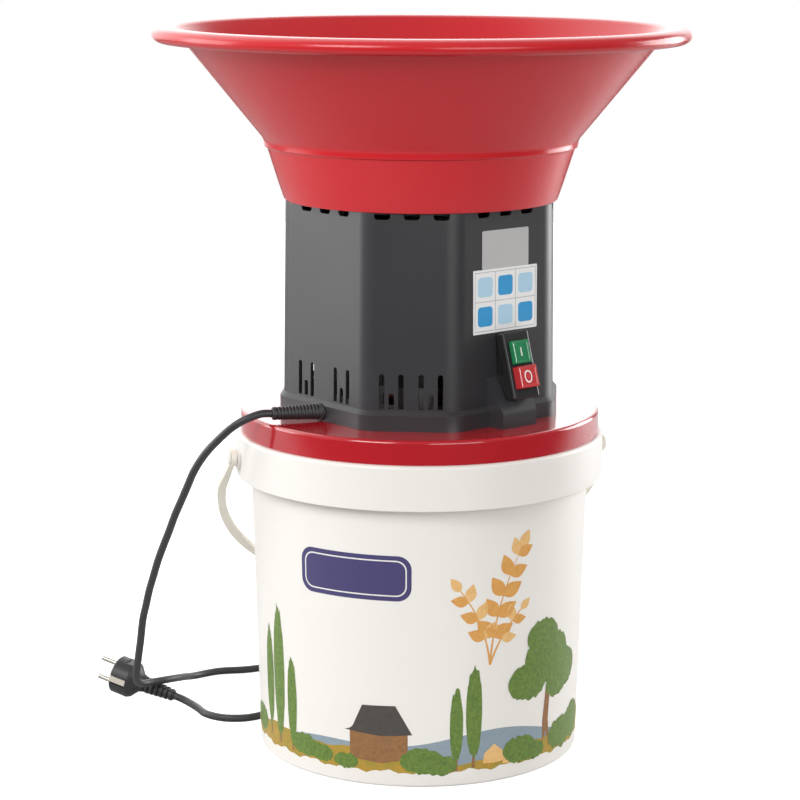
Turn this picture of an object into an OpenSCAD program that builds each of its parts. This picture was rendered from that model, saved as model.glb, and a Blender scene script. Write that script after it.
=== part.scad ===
// Electric grain mill: a motor head with a feed hopper, standing on a flour pail.
// Origin at the centre of the pail's foot, +Z up, the front face of the housing looks along -Y.

/* [Pail] */
// Outer radius of the pail at its foot
pail_foot_r = 144; // [130:1:148]
// Outer radius of the pail's wall at the shoulder
pail_top_r = 152; // [149:1:155]
// Height of the shoulder that the lid plate rests on
shoulder_z = 289; // [250:1:340]
// Height of the lip above the shoulder
lip_h = 15; // [8:1:17]
// Thickness of the pail's wall
pail_wall = 2.2; // [1.6:0.1:3]
// How far the stiffening band stands out from the wall
band_out = 12; // [10:0.5:16]
// Height of the stiffening band
band_h = 39; // [34:1:50]
// Height of the foot ring under the pail's floor
foot_h = 4; // [2:0.5:8]

/* [Bail] */
// Turn of the bail's pivot line from the X axis
ear_turn = 16; // [8:1:24]
// Drop of the pivot line below the shoulder
ear_drop = 21; // [16:1:24]
// Radius of the ear's stub
stub_r = 4.5; // [3.5:0.1:5.5]
// Running clearance of the bail's eyes on their stubs
eye_gap = 0.1; // [0.05:0.01:0.1]
// Width of the bail's strap
strap_w = 7.5; // [6:0.5:9]
// Thickness of the bail's strap
strap_t = 5; // [4:0.5:6]
// Length of the bail's arms from the pivot to the bow
arm_len = 45; // [35:1:55]
// Middle radius of the bail's bow
bow_r = 175; // [174:1:180]

/* [Lid plate] */
// Radius of the lid plate
plate_r = 160; // [158:0.5:161]
// Thickness of the plate's sheet
plate_t = 1.5; // [1:0.1:2.5]
// Height of the plate's skirt
skirt_h = 21; // [18:1:26]
// Bending radius of the plate's edge
plate_edge = 3; // [2:0.5:5]

/* [Housing] */
// Height of the housing
housing_h = 186; // [178:1:200]
// Distance of the front face from the axis, at the bottom
face_low = 118.9; // [117:0.1:122]
// Distance of the front face from the axis, at the top
face_high = 116.7; // [114:0.1:118]
// How much nearer the axis the diagonal faces lie
face_step = 7.5; // [4:0.5:10]
// Radius of the housing's corners
corner_r = 25; // [15:1:32]
// Wall thickness of the housing
housing_wall = 2.5; // [2:0.1:3.5]
// Height of the base flange
flange_h = 13.7; // [10:0.1:15]
// How far the base flange stands out
flange_out = 3.2; // [2:0.1:5]
// Height of the slope above the base flange
flange_slope = 3.7; // [2:0.1:4]

/* [Vents] */
// Width of the slots near the base
slot_w = 4.6; // [3:0.1:5.5]
// Distance between neighbouring slots
slot_pitch = 8.2; // [7:0.1:9]
// Height of the slots' lower end above the lid plate
slot_low = 18.8; // [18:0.1:22]
// Length of the long slots
slot_long = 30; // [20:1:40]
// Length of the short slots
slot_short = 13.3; // [8:0.1:18]
// Width of the windows under the hopper
window_w = 13.6; // [9:0.1:16]
// Distance between neighbouring windows
window_pitch = 25; // [22:0.5:26]
// Height of the windows
window_h = 5.8; // [4:0.1:8]

/* [Switch console] */
// Half width of the console at its front
console_half = 19.5; // [18:0.5:22]
// How far the console's foot stands out from the diagonal face
console_out = 19; // [16:0.1:20]
// Tilt of the console's slope from upright
console_tilt = 16.5; // [15:0.1:18]
// Wall thickness of the console
console_wall = 2.5; // [2:0.1:3]
// Sideways place of the switch on the console
switch_side = 3; // [0:0.1:3]
// Width of the switch's bezel
bezel_w = 30; // [28:0.5:32]
// Length of the switch's bezel
bezel_l = 58.5; // [57:0.5:59.5]
// Height of the bezel over the console
bezel_h = 10; // [9:0.1:12]
// Thickness of the bezel's walls
bezel_wall = 1.5; // [1.2:0.1:2]
// Width of the green button
on_w = 19.5; // [16:0.1:22]
// Length of the green button
on_l = 20; // [17:0.1:20.5]
// Width of the red button
off_w = 21.5; // [16:0.1:22]
// Length of the red button
off_l = 19; // [17:0.1:20.5]
// How far the green button stands out of the bezel
on_out = 3.4; // [3.2:0.1:5]
// How far the red button stands out of the bezel
off_out = 6.5; // [4:0.1:9]
// Travel of the buttons
press = 3; // [1.5:0.1:3]
// Clearance round each button
button_gap = 0.3; // [0.2:0.05:0.3]
// Width of the sticker above the switch
sticker_w = 74.5; // [60:0.5:76]
// Height of the sticker above the switch
sticker_h = 55; // [45:0.5:60]
// Height of the sticker's lower edge above the lid plate
sticker_low = 81; // [78:0.5:90]
// Width of the rating label
label_w = 54; // [40:0.5:70]
// Drop of the rating label's upper edge below the hopper
label_drop = 17; // [8:0.5:24]

/* [Hopper] */
// Height of the hopper from the deck to its rim
hopper_h = 150.4; // [130:0.1:170]
// Outer radius of the collar at the deck
collar_r = 120.9; // [118:0.1:122]
// Outer radius at the top of the collar
neck_r = 136; // [130:0.5:140]
// Height of the collar's slope
collar_h = 47; // [40:1:54]
// Height of the upright step between collar and cone
step_h = 6; // [3:0.5:9]
// Inner radius of the rolled rim
mouth_r = 212; // [200:1:220]
// Outer radius of the rolled rim
rim_r = 234.8; // [228:0.1:240]
// Height of the rolled rim
rim_h = 14; // [9:0.5:16]
// Thickness of the hopper's wall
hopper_wall = 3; // [2.4:0.1:3.4]

/* [Feed] */
// Half width of the feed port
port_half = 22; // [16:1:22]
// Nearer edge of the feed port from the axis
port_near = 64; // [64:0.5:68]
// Length of the feed port
port_len = 30; // [22:1:30]
// Wall thickness of the feed chute
chute_wall = 2; // [1.5:0.1:2]
// Thickness of the gate
gate_t = 1.6; // [1:0.1:2]
// Overlap of the gate beyond each side of the port
gate_lap = 3; // [2:0.5:5]
// Clearance round the gate
gate_gap = 0.3; // [0.2:0.05:0.3]

/* [Motor] */
// Outer radius of the stator
stator_r = 60; // [52:0.5:60]
// Bore radius of the stator
stator_bore = 33; // [29:0.5:34]
// Height of the stator's stack
stack_h = 80; // [60:1:90]
// Height of each motor shield
shield_h = 26; // [24:0.5:28]
// Wall thickness of the motor shields
shield_wall = 5; // [4:0.5:6]
// Air gap between the stator and the rotor
air_gap = 0.5; // [0.3:0.05:0.8]
// Radius of the shaft in its bearings
journal_r = 8.5; // [8:0.1:9]
// Running clearance of the shaft in its bearings
bearing_gap = 0.05; // [0.02:0.01:0.08]
// Outer radius of the bearings
bearing_r = 20; // [18:0.5:22]
// Width of the bearings
bearing_w = 12; // [10:0.5:13]
// Radius of the cooling fan
fan_r = 48; // [40:1:54]

/* [Grinding chamber] */
// Inner radius of the sieve
sieve_r = 99; // [97:0.5:100]
// Thickness of the sieve's sheet
sieve_t = 1; // [0.8:0.1:1.5]
// Height of the sieve
sieve_h = 60; // [56:1:66]
// Thickness of the chamber's floor
floor_t = 3; // [2:0.5:4]
// Radius of the circle that the studs stand on
stud_ring = 112; // [110:0.5:114]
// Radius of the studs
stud_r = 3; // [2.5:0.1:4]
// Half length of the beater bars
beater_r = 94; // [84:1:95]
// Width of the beater bars
beater_w = 24; // [20:1:28]
// Thickness of the beater bars
beater_t = 3; // [2:0.5:4]
// Height of the spacer between the beater bars
spacer_h = 10; // [6:0.5:12]

/* [Cord] */
// Diameter of the mains cord
cord_d = 7; // [6:0.1:8]
// Length of the strain relief outside the housing
relief_len = 44.5; // [38:1:52]
// Radius of the strain relief at its root
relief_root = 6.9; // [6.4:0.1:7.5]
// Radius of the strain relief at its tip
relief_tip = 5.75; // [4.5:0.05:6.2]
// Radius of the plug's head
plug_r = 18; // [17:0.1:20]
// Length of the plug's head
plug_head = 23; // [20:1:26]
// Length of the plug's pins
pin_len = 19; // [17:0.5:19]
// Radius of the plug's pins
pin_r = 2.4; // [2:0.05:2.4]

/* [Hidden] */
$fn = 96;
eps = 0.01;
// Clearance between pieces that only stand near each other
near = 0.3;
// Clearance of screws and studs in their holes
hole_gap = 0.1;

// Heights up the mill
plate_top = shoulder_z + skirt_h;
deck_top = plate_top + housing_h;
deck_low = deck_top - housing_wall;
hopper_floor = deck_top + hopper_wall;
rim_top = deck_top + hopper_h;
plate_low = plate_top - plate_t;
stack_low = plate_top + shield_h;
stack_top = stack_low + stack_h;
motor_top = stack_top + shield_h;
sieve_low = plate_low - sieve_h;

function pail_r(z) = pail_foot_r + (pail_top_r - pail_foot_r) * z / shoulder_z;

// ---------------------------------------------------------------- pail
ear_z = shoulder_z - ear_drop;
band_low = shoulder_z - band_h;
band_r = pail_top_r + band_out;
boss_r = 11;
boss_out = 2.3;
ear_head_t = 2;
// Root radius of the stub's head, which keeps the eye on
ear_head_r = stub_r + 1.7;
// Middle of the bail's eyes along the pivot line
eye_at = band_r + boss_out + near + strap_t / 2;
rib_count = 16;
rib_t = 2;
rib_lift = 6;
foot_ring = 14;
band_edge = 3;

module pail_wall_profile()
    polygon([[pail_foot_r - foot_ring, 0], [pail_foot_r - 3, 0], [pail_foot_r - 0.8, 0.9],
        [pail_r(3), 3], [pail_top_r, shoulder_z], [pail_top_r, shoulder_z + lip_h - 1],
        [pail_top_r - 1, shoulder_z + lip_h], [pail_top_r - pail_wall, shoulder_z + lip_h],
        [pail_r(foot_h) - pail_wall - 1, foot_h + pail_wall + 3],
        [pail_r(foot_h) - pail_wall - 5, foot_h + pail_wall],
        [0, foot_h + pail_wall], [0, foot_h], [pail_foot_r - foot_ring, foot_h]]);

module band_profile()
    polygon(concat(
        [[pail_top_r, shoulder_z], [pail_r(shoulder_z - pail_wall), shoulder_z - pail_wall],
            [band_r - pail_wall, shoulder_z - pail_wall], [band_r - pail_wall, band_low],
            [band_r, band_low]],
        [for (a = [0:15:90]) [band_r - band_edge + band_edge * cos(a),
            shoulder_z - band_edge + band_edge * sin(a)]]));

module ear() {
    translate([band_r - pail_wall, 0, ear_z]) rotate([0, 90, 0]) {
        cylinder(r = boss_r, h = pail_wall + boss_out);
        cylinder(r = stub_r, h = pail_wall + boss_out + 2 * near + strap_t + ear_head_t);
        translate([0, 0, pail_wall + boss_out + 2 * near + strap_t])
            cylinder(r1 = ear_head_r, r2 = ear_head_r - 1, h = ear_head_t);
    }
}

module pail() color("ivory") rotate_extrude($fn = 128) pail_wall_profile();

// The band is moulded on the pail: its ribs stand against the wall, and its ears carry the bail
module pail_band() {
    rib_low = band_low + rib_lift;
    rib_high = shoulder_z - pail_wall / 2;
    rib_out = band_r - pail_wall / 2;
    color("ivory") {
        rotate_extrude($fn = 128) band_profile();
        for (i = [0:rib_count - 1]) rotate([0, 0, ear_turn + i * 360 / rib_count]) rotate([90, 0, 0])
            linear_extrude(rib_t, center = true) polygon([[pail_r(rib_low) + near, rib_low],
                [rib_out, rib_low], [rib_out, rib_high], [pail_r(rib_high) + near, rib_high]]);
        for (side = [0, 180]) rotate([0, 0, ear_turn + side]) ear();
    }
}

// ---------------------------------------------------------------- bail
// The arms stay straight past the stubs' heads and then spread out to the bow.
// The bail hangs behind the pail with its bow leaning on the wall: the lean solves
// reach * sin(lean) - half thickness * cos(lean) = wall radius + clearance on the tapered wall.
bow_inner = arm_len + bow_r - strap_w / 2;
taper = (pail_top_r - pail_foot_r) / shoulder_z;
lean_sin = bow_inner + taper * strap_t / 2;
lean_cos = taper * bow_inner - strap_t / 2;
bail_lean = asin((pail_r(ear_z) + near) / norm([lean_sin, lean_cos])) - atan2(lean_cos, lean_sin);

module bail_outline() {
    for (side = [-1, 1]) polygon([[side * (eye_at - strap_t / 2), 0],
        [side * (eye_at + strap_t / 2), 0],
        [side * (eye_at + strap_t / 2), ear_head_r + near],
        [side * (bow_r + strap_w / 2), arm_len], [side * (bow_r - strap_w / 2), arm_len]]);
    translate([0, arm_len]) intersection() {
        difference() {
            circle(r = bow_r + strap_w / 2, $fn = 128);
            circle(r = bow_r - strap_w / 2, $fn = 128);
        }
        translate([-bow_r * 2, 0]) square([bow_r * 4, bow_r * 2]);
    }
}

module bail() {
    color("cornsilk") translate([0, 0, ear_z]) rotate([0, 0, ear_turn]) rotate([bail_lean - 90, 0, 0])
        difference() {
            union() {
                translate([0, 0, -strap_t / 2]) linear_extrude(strap_t) bail_outline();
                for (side = [-1, 1]) translate([side * eye_at, 0, 0]) rotate([0, 90, 0])
                    cylinder(r = stub_r + 3.5, h = strap_t, center = true);
            }
            rotate([0, 90, 0]) cylinder(r = stub_r + eye_gap, h = 3 * bow_r, center = true);
        }
}

// ---------------------------------------------------------------- lid plate
screw_ring = 110;
screw_r = 2.5;
mount_ring = 46;
mount_r = 3;
shaft_hole = 13;

module plate_profile() {
    arc = [for (a = [0:15:90]) [plate_r - plate_edge + plate_edge * sin(a),
        plate_top - plate_edge + plate_edge * cos(a)]];
    inner = plate_edge - plate_t;
    inner_arc = [for (a = [90:-15:0]) [plate_r - plate_edge + max(inner, 0.2) * sin(a),
        plate_top - plate_edge + max(inner, 0.2) * cos(a)]];
    polygon(concat([[shaft_hole, plate_low], [shaft_hole, plate_top]], arc,
        [[plate_r, shoulder_z], [plate_r - plate_t, shoulder_z]], inner_arc));
}

module at_ring(count, ring, turn = 0)
    for (i = [0:count - 1]) rotate([0, 0, turn + i * 360 / count]) translate([ring, 0, 0]) children();

module lid_plate() {
    color("firebrick") difference() {
        rotate_extrude($fn = 128) plate_profile();
        at_ring(4, screw_ring) cylinder(r = screw_r + hole_gap, h = 2 * plate_top);
        at_ring(4, mount_ring, 45) cylinder(r = mount_r + hole_gap, h = 2 * plate_top);
        translate([-port_half, port_near, plate_low - 1])
            cube([2 * port_half, port_len, plate_t + 2]);
    }
}

// ---------------------------------------------------------------- housing
slope_low = plate_top + flange_h;
slope_top = slope_low + flange_slope;
diag_low = face_low - face_step;
diag_high = face_high - face_step;
boss_out_r = screw_r + 3;
console_z = plate_top + 20;
console_n = diag_low + console_out - 2.5;

// Distance of a diagonal face from the axis at height z
function diag_at(z) = diag_low + (diag_high - diag_low) * (z - plate_top - 1) / (housing_h - 1);

// Eight corner posts of an octagon whose main faces lie at a and diagonal faces at d
module corner_posts(a, d, r, z) {
    x = sqrt(2) * (d - r) - (a - r);
    for (q = [0:90:270], side = [-1, 1]) rotate([0, 0, q])
        translate([a - r, side * x, z]) cylinder(r = r, h = eps, $fn = 48);
}

module housing_body(inset, z_low, z_high)
    hull() {
        corner_posts(face_low - inset, diag_low - inset, corner_r - inset, z_low);
        corner_posts(face_high - inset, diag_high - inset, corner_r - inset, z_high - eps);
    }

module housing_flange()
    hull() {
        corner_posts(face_low + flange_out, diag_low + flange_out, corner_r, plate_top);
        corner_posts(face_low + flange_out, diag_low + flange_out, corner_r, slope_low - eps);
        corner_posts(face_low, diag_low, corner_r, slope_top - eps);
    }

// Everything on the console is placed from the foot of its slope
module on_console()
    rotate([0, 0, -45]) translate([console_n, 0, console_z]) rotate([0, -console_tilt, 0]) children();

module console_side(out, top_cut) {
    rise = (console_n - diag_high + 2) / tan(console_tilt);
    polygon([[diag_high - 12, plate_top - top_cut], [console_n + 2.5 - out, plate_top - top_cut],
        [console_n + 2.5 - out, slope_low - out], [console_n - out, slope_top - out],
        [console_n - out / cos(console_tilt), console_z],
        [diag_high - 2 - out / cos(console_tilt), console_z + rise],
        [diag_high - 12, console_z + rise]]);
}

module console_block(out, half, top_cut)
    rotate([0, 0, -45]) intersection() {
        rotate([90, 0, 0]) translate([0, 0, -40]) linear_extrude(80) console_side(out, top_cut);
        translate([0, 0, plate_top - 2]) linear_extrude(housing_h)
            polygon([[diag_high - 12, -half - 3.4], [console_n + 2.5, -half],
                [console_n + 2.5, half], [diag_high - 12, half + 3.4]]);
    }

module slot(length) {
    translate([-8, -slot_w / 2, 0]) cube([16, slot_w, length - slot_w / 2]);
    translate([-8, 0, length - slot_w / 2]) rotate([0, 90, 0])
        cylinder(r = slot_w / 2, h = 16, $fn = 24);
}

module slot_group(face, shift)
    for (i = [-1:1]) translate([face, shift + i * slot_pitch, plate_top + slot_low])
        slot(i == 0 ? slot_short : slot_long);

module window(face) {
    r = min(3, window_h / 2);
    translate([face - 5, 0, deck_top - window_h]) {
        translate([0, -window_w / 2, r]) cube([14, window_w, window_h]);
        translate([0, r - window_w / 2, 0]) cube([14, window_w - 2 * r, window_h]);
        for (side = [-1, 1]) translate([0, side * (window_w / 2 - r), r]) rotate([0, 90, 0])
            cylinder(r = r, h = 14, $fn = 24);
    }
}

body_hole_w = bezel_w - 2 * bezel_wall - 1;
body_low_w = body_hole_w - 2;
body_len = bezel_l - 2 * bezel_wall - 1;
body_low_len = body_len - 5.5;
switch_mid = 32.2;

module housing() {
    color("dimgray") difference() {
        union() {
            difference() {
                union() {
                    housing_body(0, plate_top + 1, deck_top);
                    housing_flange();
                    console_block(0, console_half, 0);
                }
                housing_body(housing_wall, plate_top - 1, deck_low);
                console_block(console_wall, console_half - console_wall, 1);
            }
            // bosses for the screws from below and from the hopper
            at_ring(4, screw_ring) {
                translate([0, 0, plate_top]) cylinder(r = boss_out_r, h = 16);
                translate([0, -1.5, plate_top]) cube([face_low - screw_ring, 3, 14]);
            }
            at_ring(4, hopper_screw_ring, 45)
                translate([0, 0, deck_low - 14]) cylinder(r = boss_out_r, h = 14 + eps);
        }
        for (q = [0:45:315]) rotate([0, 0, q]) {
            main = q % 90 == 0;
            if (q != 315) for (side = [-1, 1])
                slot_group(main ? face_low : diag_low, side * (main ? 16.8 : 24));
            for (i = [-1:1]) translate([0, i * window_pitch, 0])
                window(main ? face_high : diag_high);
        }
        at_ring(4, screw_ring) translate([0, 0, plate_top - 1]) cylinder(r = screw_r, h = 13);
        at_ring(4, hopper_screw_ring, 45) translate([0, 0, deck_low - 11])
            cylinder(r = screw_r, h = 20);
        translate([-port_half - chute_wall - near, port_near - chute_wall - near, deck_low - 1])
            cube([2 * (port_half + chute_wall + near), port_len + 2 * (chute_wall + near), 10]);
        on_console() translate([-8, switch_side - body_low_w / 2 - 0.5,
            switch_mid - body_low_len / 2 - 0.5]) cube([10, body_low_w + 1, body_low_len + 1]);
        relief_neck(relief_neck_r + 0.05);
    }
}

// Pan head screws: the shank starts under the head at z = 0 and points up
module screw(head_r, head_h, r, length) {
    translate([0, 0, -head_h]) difference() {
        cylinder(r = head_r, h = head_h);
        for (q = [0, 90]) rotate([0, 0, q]) translate([-head_r * 0.6, -0.5, -eps])
            cube([head_r * 1.2, 1, head_h * 0.5]);
    }
    cylinder(r = r, h = length);
}

screw_head_r = 4.5;
screw_head_h = 3.2;
screw_grip = 11;
module housing_screws()
    color("silver") at_ring(4, screw_ring) translate([0, 0, plate_low])
        screw(screw_head_r, screw_head_h, screw_r, plate_t + screw_grip);

// ---------------------------------------------------------------- hopper
hopper_screw_ring = 95;
cone_low = deck_top + collar_h + step_h;
cone_r = neck_r + 1.5;
cone_top = rim_top - rim_h * 0.625;
roll = rim_h / 2;

module hopper_profile() {
    w = hopper_wall;
    outer_roll = [for (a = [-60:15:90]) [rim_r - roll * 1.4 + roll * 1.4 * cos(a),
        rim_top - roll + roll * sin(a)]];
    inner_roll = [for (a = [90:-15:30]) [rim_r - roll * 1.4 + (roll * 1.4 - w * 0.8) * cos(a),
        rim_top - roll + (roll - w * 0.8) * sin(a)]];
    polygon(concat(
        [[0, deck_top], [collar_r, deck_top], [neck_r, deck_top + collar_h],
            [cone_r, cone_low - 1], [cone_r + 1, cone_low], [mouth_r - 1, cone_top]],
        [[mouth_r + 2, rim_top - w * 1.2]],
        [for (i = [0:len(inner_roll) - 1]) inner_roll[i]],
        [[rim_r - w * 0.7, rim_top - roll * 1.5]],
        outer_roll,
        [[mouth_r + 4, rim_top], [mouth_r + 1, rim_top - 1.2], [mouth_r - w * 0.7, cone_top + w],
            [cone_r - w + 2, cone_low + w], [cone_r - w, cone_low],
            [neck_r - w, deck_top + collar_h], [collar_r - w - 0.5, hopper_floor + 4],
            [collar_r - w - 4, hopper_floor], [0, hopper_floor]]));
}

module hopper() {
    color("crimson") difference() {
        rotate_extrude($fn = 128) hopper_profile();
        at_ring(4, hopper_screw_ring, 45) translate([0, 0, deck_top - 1])
            cylinder(r = screw_r + hole_gap, h = hopper_wall + 2);
        translate([-port_half, port_near, deck_top - 1])
            cube([2 * port_half, port_len, hopper_wall + 2]);
        rail_screw_places() translate([0, 0, deck_top - 1])
            cylinder(r = rail_screw_r + hole_gap, h = hopper_wall + 2);
    }
}

module hopper_screws()
    color("silver") at_ring(4, hopper_screw_ring, 45) translate([0, 0, hopper_floor])
        mirror([0, 0, 1]) screw(screw_head_r + 0.5, screw_head_h + 0.2, screw_r,
            hopper_wall + housing_wall + screw_grip - 2);

// ---------------------------------------------------------------- feed chute and gate
gate_half = port_half + gate_lap + 2;
gate_len = port_len + 2 * gate_lap;
gate_low = hopper_floor + near / 2;
gate_travel = gate_len;
rail_h = gate_t + 1.5 * near;
rail_lip = 1.5;
rail_w = 7;
rail_screw_r = 1.5;
rail_far = port_near + port_len + gate_lap + gate_gap;
rail_near = rail_far - 2 * gate_len - 4;

module feed_chute() {
    color("lightgray") difference() {
        union() {
            translate([-port_half - chute_wall, port_near - chute_wall, plate_top])
                cube([2 * (port_half + chute_wall), port_len + 2 * chute_wall, housing_h]);
            translate([-port_half - 8, port_near - chute_wall, plate_top])
                cube([2 * (port_half + 8), port_len + 2 * chute_wall, 2]);
        }
        translate([-port_half, port_near, plate_top - 1])
            cube([2 * port_half, port_len, housing_h + 2]);
    }
}

module gate() {
    color("silver") translate([0, port_near - gate_lap - gate_travel, gate_low]) {
        translate([-gate_half, 0, 0]) cube([2 * gate_half, gate_len, gate_t]);
        translate([-9, 1.5, 0]) cube([18, 2, 15]);
    }
}

module rail_screw_places()
    for (side = [-1, 1], y = [rail_near + 7, rail_far - 7])
        translate([side * (gate_half + gate_gap + rail_w / 2), y, 0]) children();

module gate_rails() {
    color("lightgray") difference() {
        for (side = [-1, 1]) mirror([side < 0 ? 1 : 0, 0, 0])
            translate([gate_half + gate_gap, rail_near, hopper_floor]) {
                cube([rail_w, rail_far - rail_near, rail_h + rail_lip]);
                translate([-2.5, 0, rail_h]) cube([rail_w, rail_far - rail_near, rail_lip]);
            }
        rail_screw_places() translate([0, 0, hopper_floor - 1])
            cylinder(r = rail_screw_r + hole_gap, h = 10);
    }
}

module gate_screws()
    color("silver") rail_screw_places() translate([0, 0, hopper_floor + rail_h + rail_lip])
        mirror([0, 0, 1]) screw(2.6, 1.8, rail_screw_r, rail_h + rail_lip + hopper_wall - 0.5);

// ---------------------------------------------------------------- motor
shield_base = 6;
lug_ring = stator_r + 6;
lug_r = 7.5;
bolt_r = 2.5;
bearing_boss = bearing_r + 4.5;

module shield(from_base) {
    difference() {
        union() {
            cylinder(r = stator_r + 1, h = shield_h);
            at_ring(4, lug_ring, 45) cylinder(r = lug_r, h = shield_h);
        }
        translate([0, 0, shield_base]) cylinder(r = stator_r + 1 - shield_wall, h = shield_h);
        translate([0, 0, -1]) cylinder(r = shaft_hole, h = shield_h);
        at_ring(4, lug_ring, 45) translate([0, 0, -1])
            cylinder(r = bolt_r + hole_gap, h = shield_h + 2);
        if (from_base) at_ring(4, mount_ring, 45) translate([0, 0, -1])
            cylinder(r = mount_r, h = shield_base + 2);
        for (q = [22.5:45:360]) rotate([0, 0, q]) translate([stator_r - 10, -6, shield_base + 4])
            cube([20, 12, shield_h - shield_base - 10]);
    }
    difference() {
        cylinder(r = bearing_boss, h = shield_base + bearing_w);
        translate([0, 0, shield_base]) cylinder(r = bearing_r, h = bearing_w + 1);
        translate([0, 0, -1]) cylinder(r = shaft_hole, h = shield_h);
    }
}

module motor_lower_shield()
    color("gainsboro") translate([0, 0, plate_top]) shield(true);

module motor_upper_shield()
    color("gainsboro") translate([0, 0, motor_top]) mirror([0, 0, 1]) shield(false);

slot_count = 24;
slot_depth = 15;

module stator_core() {
    color("slategray") translate([0, 0, stack_low]) difference() {
        cylinder(r = stator_r, h = stack_h);
        translate([0, 0, -1]) cylinder(r = stator_bore, h = stack_h + 2);
        for (i = [0:slot_count - 1]) rotate([0, 0, i * 360 / slot_count])
            translate([stator_bore - 1, -1.5, -1]) cube([slot_depth + 1, 3, stack_h + 2]);
    }
}

module coil_end() {
    rotate_extrude() translate([stator_bore + 3, 0]) {
        square([slot_depth + 2, 11]);
        translate([2, 0]) square([slot_depth - 2, 13]);
    }
}

module stator_winding() {
    color("peru") {
        translate([0, 0, stack_top]) coil_end();
        translate([0, 0, stack_low]) mirror([0, 0, 1]) coil_end();
    }
}

bolt_head = 4;
module motor_bolts()
    color("silver") at_ring(4, lug_ring, 45) {
        translate([0, 0, motor_top]) cylinder(r = 4.6, h = bolt_head, $fn = 6);
        translate([0, 0, plate_top + 0.5]) cylinder(r = bolt_r, h = motor_top - plate_top - 0.5);
    }

module motor_mount_bolts()
    color("silver") at_ring(4, mount_ring, 45) translate([0, 0, plate_low])
        screw(5.5, 3.5, mount_r, plate_t + shield_base - 0.5);

module bearing() {
    color("silver") difference() {
        cylinder(r = bearing_r, h = bearing_w);
        translate([0, 0, -1]) cylinder(r = journal_r + bearing_gap, h = bearing_w + 2);
        for (z = [-1, bearing_w - 1]) translate([0, 0, z]) difference() {
            cylinder(r = bearing_r - 4, h = 2);
            translate([0, 0, -1]) cylinder(r = journal_r + 3.5, h = 4);
        }
    }
}

module lower_bearing() translate([0, 0, plate_top + shield_base]) bearing();
module upper_bearing() translate([0, 0, motor_top - shield_base - bearing_w]) bearing();

core_r = 10;
tail_r = 7;
seat_low = plate_top + shield_base + bearing_w + 1;
seat_top = motor_top - shield_base - bearing_w - 1;
fan_low = motor_top + 1;
fan_hub_h = 14;
beater_drop = 28.5;
beater_top = plate_low - beater_drop;
beaters_low = beater_top - 2 * beater_t - spacer_h;
spacer_wall = 5;
end_washer_t = 2;
end_nut_h = 9;
end_nut_r = 12.5;
shaft_end = 2;
shaft_low = beaters_low - end_washer_t - end_nut_h - shaft_end;

module shaft()
    color("silver") {
        translate([0, 0, shaft_low]) cylinder(r = tail_r, h = beater_top - shaft_low + eps);
        translate([0, 0, beater_top]) cylinder(r = journal_r, h = fan_low - beater_top);
        translate([0, 0, seat_low]) cylinder(r = core_r, h = seat_top - seat_low);
        translate([0, 0, fan_low - eps]) cylinder(r = tail_r, h = fan_hub_h + 4);
    }

module rotor_core()
    color("slategray") translate([0, 0, stack_low]) difference() {
        cylinder(r = stator_bore - air_gap, h = stack_h);
        translate([0, 0, -1]) cylinder(r = core_r, h = stack_h + 2);
    }

module rotor_cage()
    color("gainsboro") for (z = [stack_low - 5, stack_top]) translate([0, 0, z]) difference() {
        cylinder(r = stator_bore - air_gap - 1, h = 5);
        translate([0, 0, -1]) cylinder(r = stator_bore - 12, h = 7);
    }

module cooling_fan()
    color("black") translate([0, 0, fan_low]) difference() {
        union() {
            cylinder(r = 13, h = fan_hub_h);
            translate([0, 0, 6]) cylinder(r = fan_r, h = 2);
            for (i = [0:8]) rotate([0, 0, i * 40]) translate([12, -0.9, 7])
                cube([fan_r - 14, 1.8, 14]);
        }
        translate([0, 0, -1]) cylinder(r = tail_r, h = fan_hub_h + 10);
    }

// ---------------------------------------------------------------- electrics on the lid plate
cap_r = 18;
cap_h = 70;
cap_place = [-80, 37];
block_n = 90;
block_l = 30;
block_w = 14;
block_h = 16;
body_depth = 22;
lead_r = 2.5;
sleeve_r = 3.4;
lead_ring = 88;

module capacitor()
    color("whitesmoke") translate([cap_place[0], cap_place[1], plate_top + 2]) {
        cylinder(r = cap_r, h = cap_h);
        for (side = [-1, 1]) translate([side * 7 - 0.4, -3, cap_h]) cube([0.8, 6, 8]);
    }

module capacitor_cup()
    color("black") translate([cap_place[0], cap_place[1], plate_top]) difference() {
        cylinder(r = cap_r + 2, h = 16);
        translate([0, 0, 2]) cylinder(r = cap_r, h = 20);
    }

module terminal_block()
    color("whitesmoke") rotate([0, 0, 225]) translate([block_n - block_w / 2, -block_l / 2, plate_top])
        difference() {
            cube([block_w, block_l, block_h]);
            for (i = [-1:1]) translate([block_w / 2, block_l / 2 + i * 9, 6])
                cylinder(r = 2.2, h = block_h);
        }

// Leads from the terminal block to the switch, to the capacitor and to the motor
lead_z = plate_top + 6;
lead_side = asin((block_l / 2) / lead_ring);
tail_side = 9;
tail_start = stator_r + 0.8;
cap_turn = atan2(cap_place[1], cap_place[0]) + 2 * asin((cap_r + 2) / (2 * norm(cap_place)));
switch_lead_z = console_z + 15;
switch_lead_n = console_n - (15 + body_depth * sin(console_tilt)) * tan(console_tilt)
    - body_depth * cos(console_tilt);

module lead_arc(from, to)
    rotate([0, 0, from]) translate([0, 0, lead_z])
        rotate_extrude(angle = to - from) translate([lead_ring, 0]) circle(r = lead_r, $fn = 24);

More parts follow.
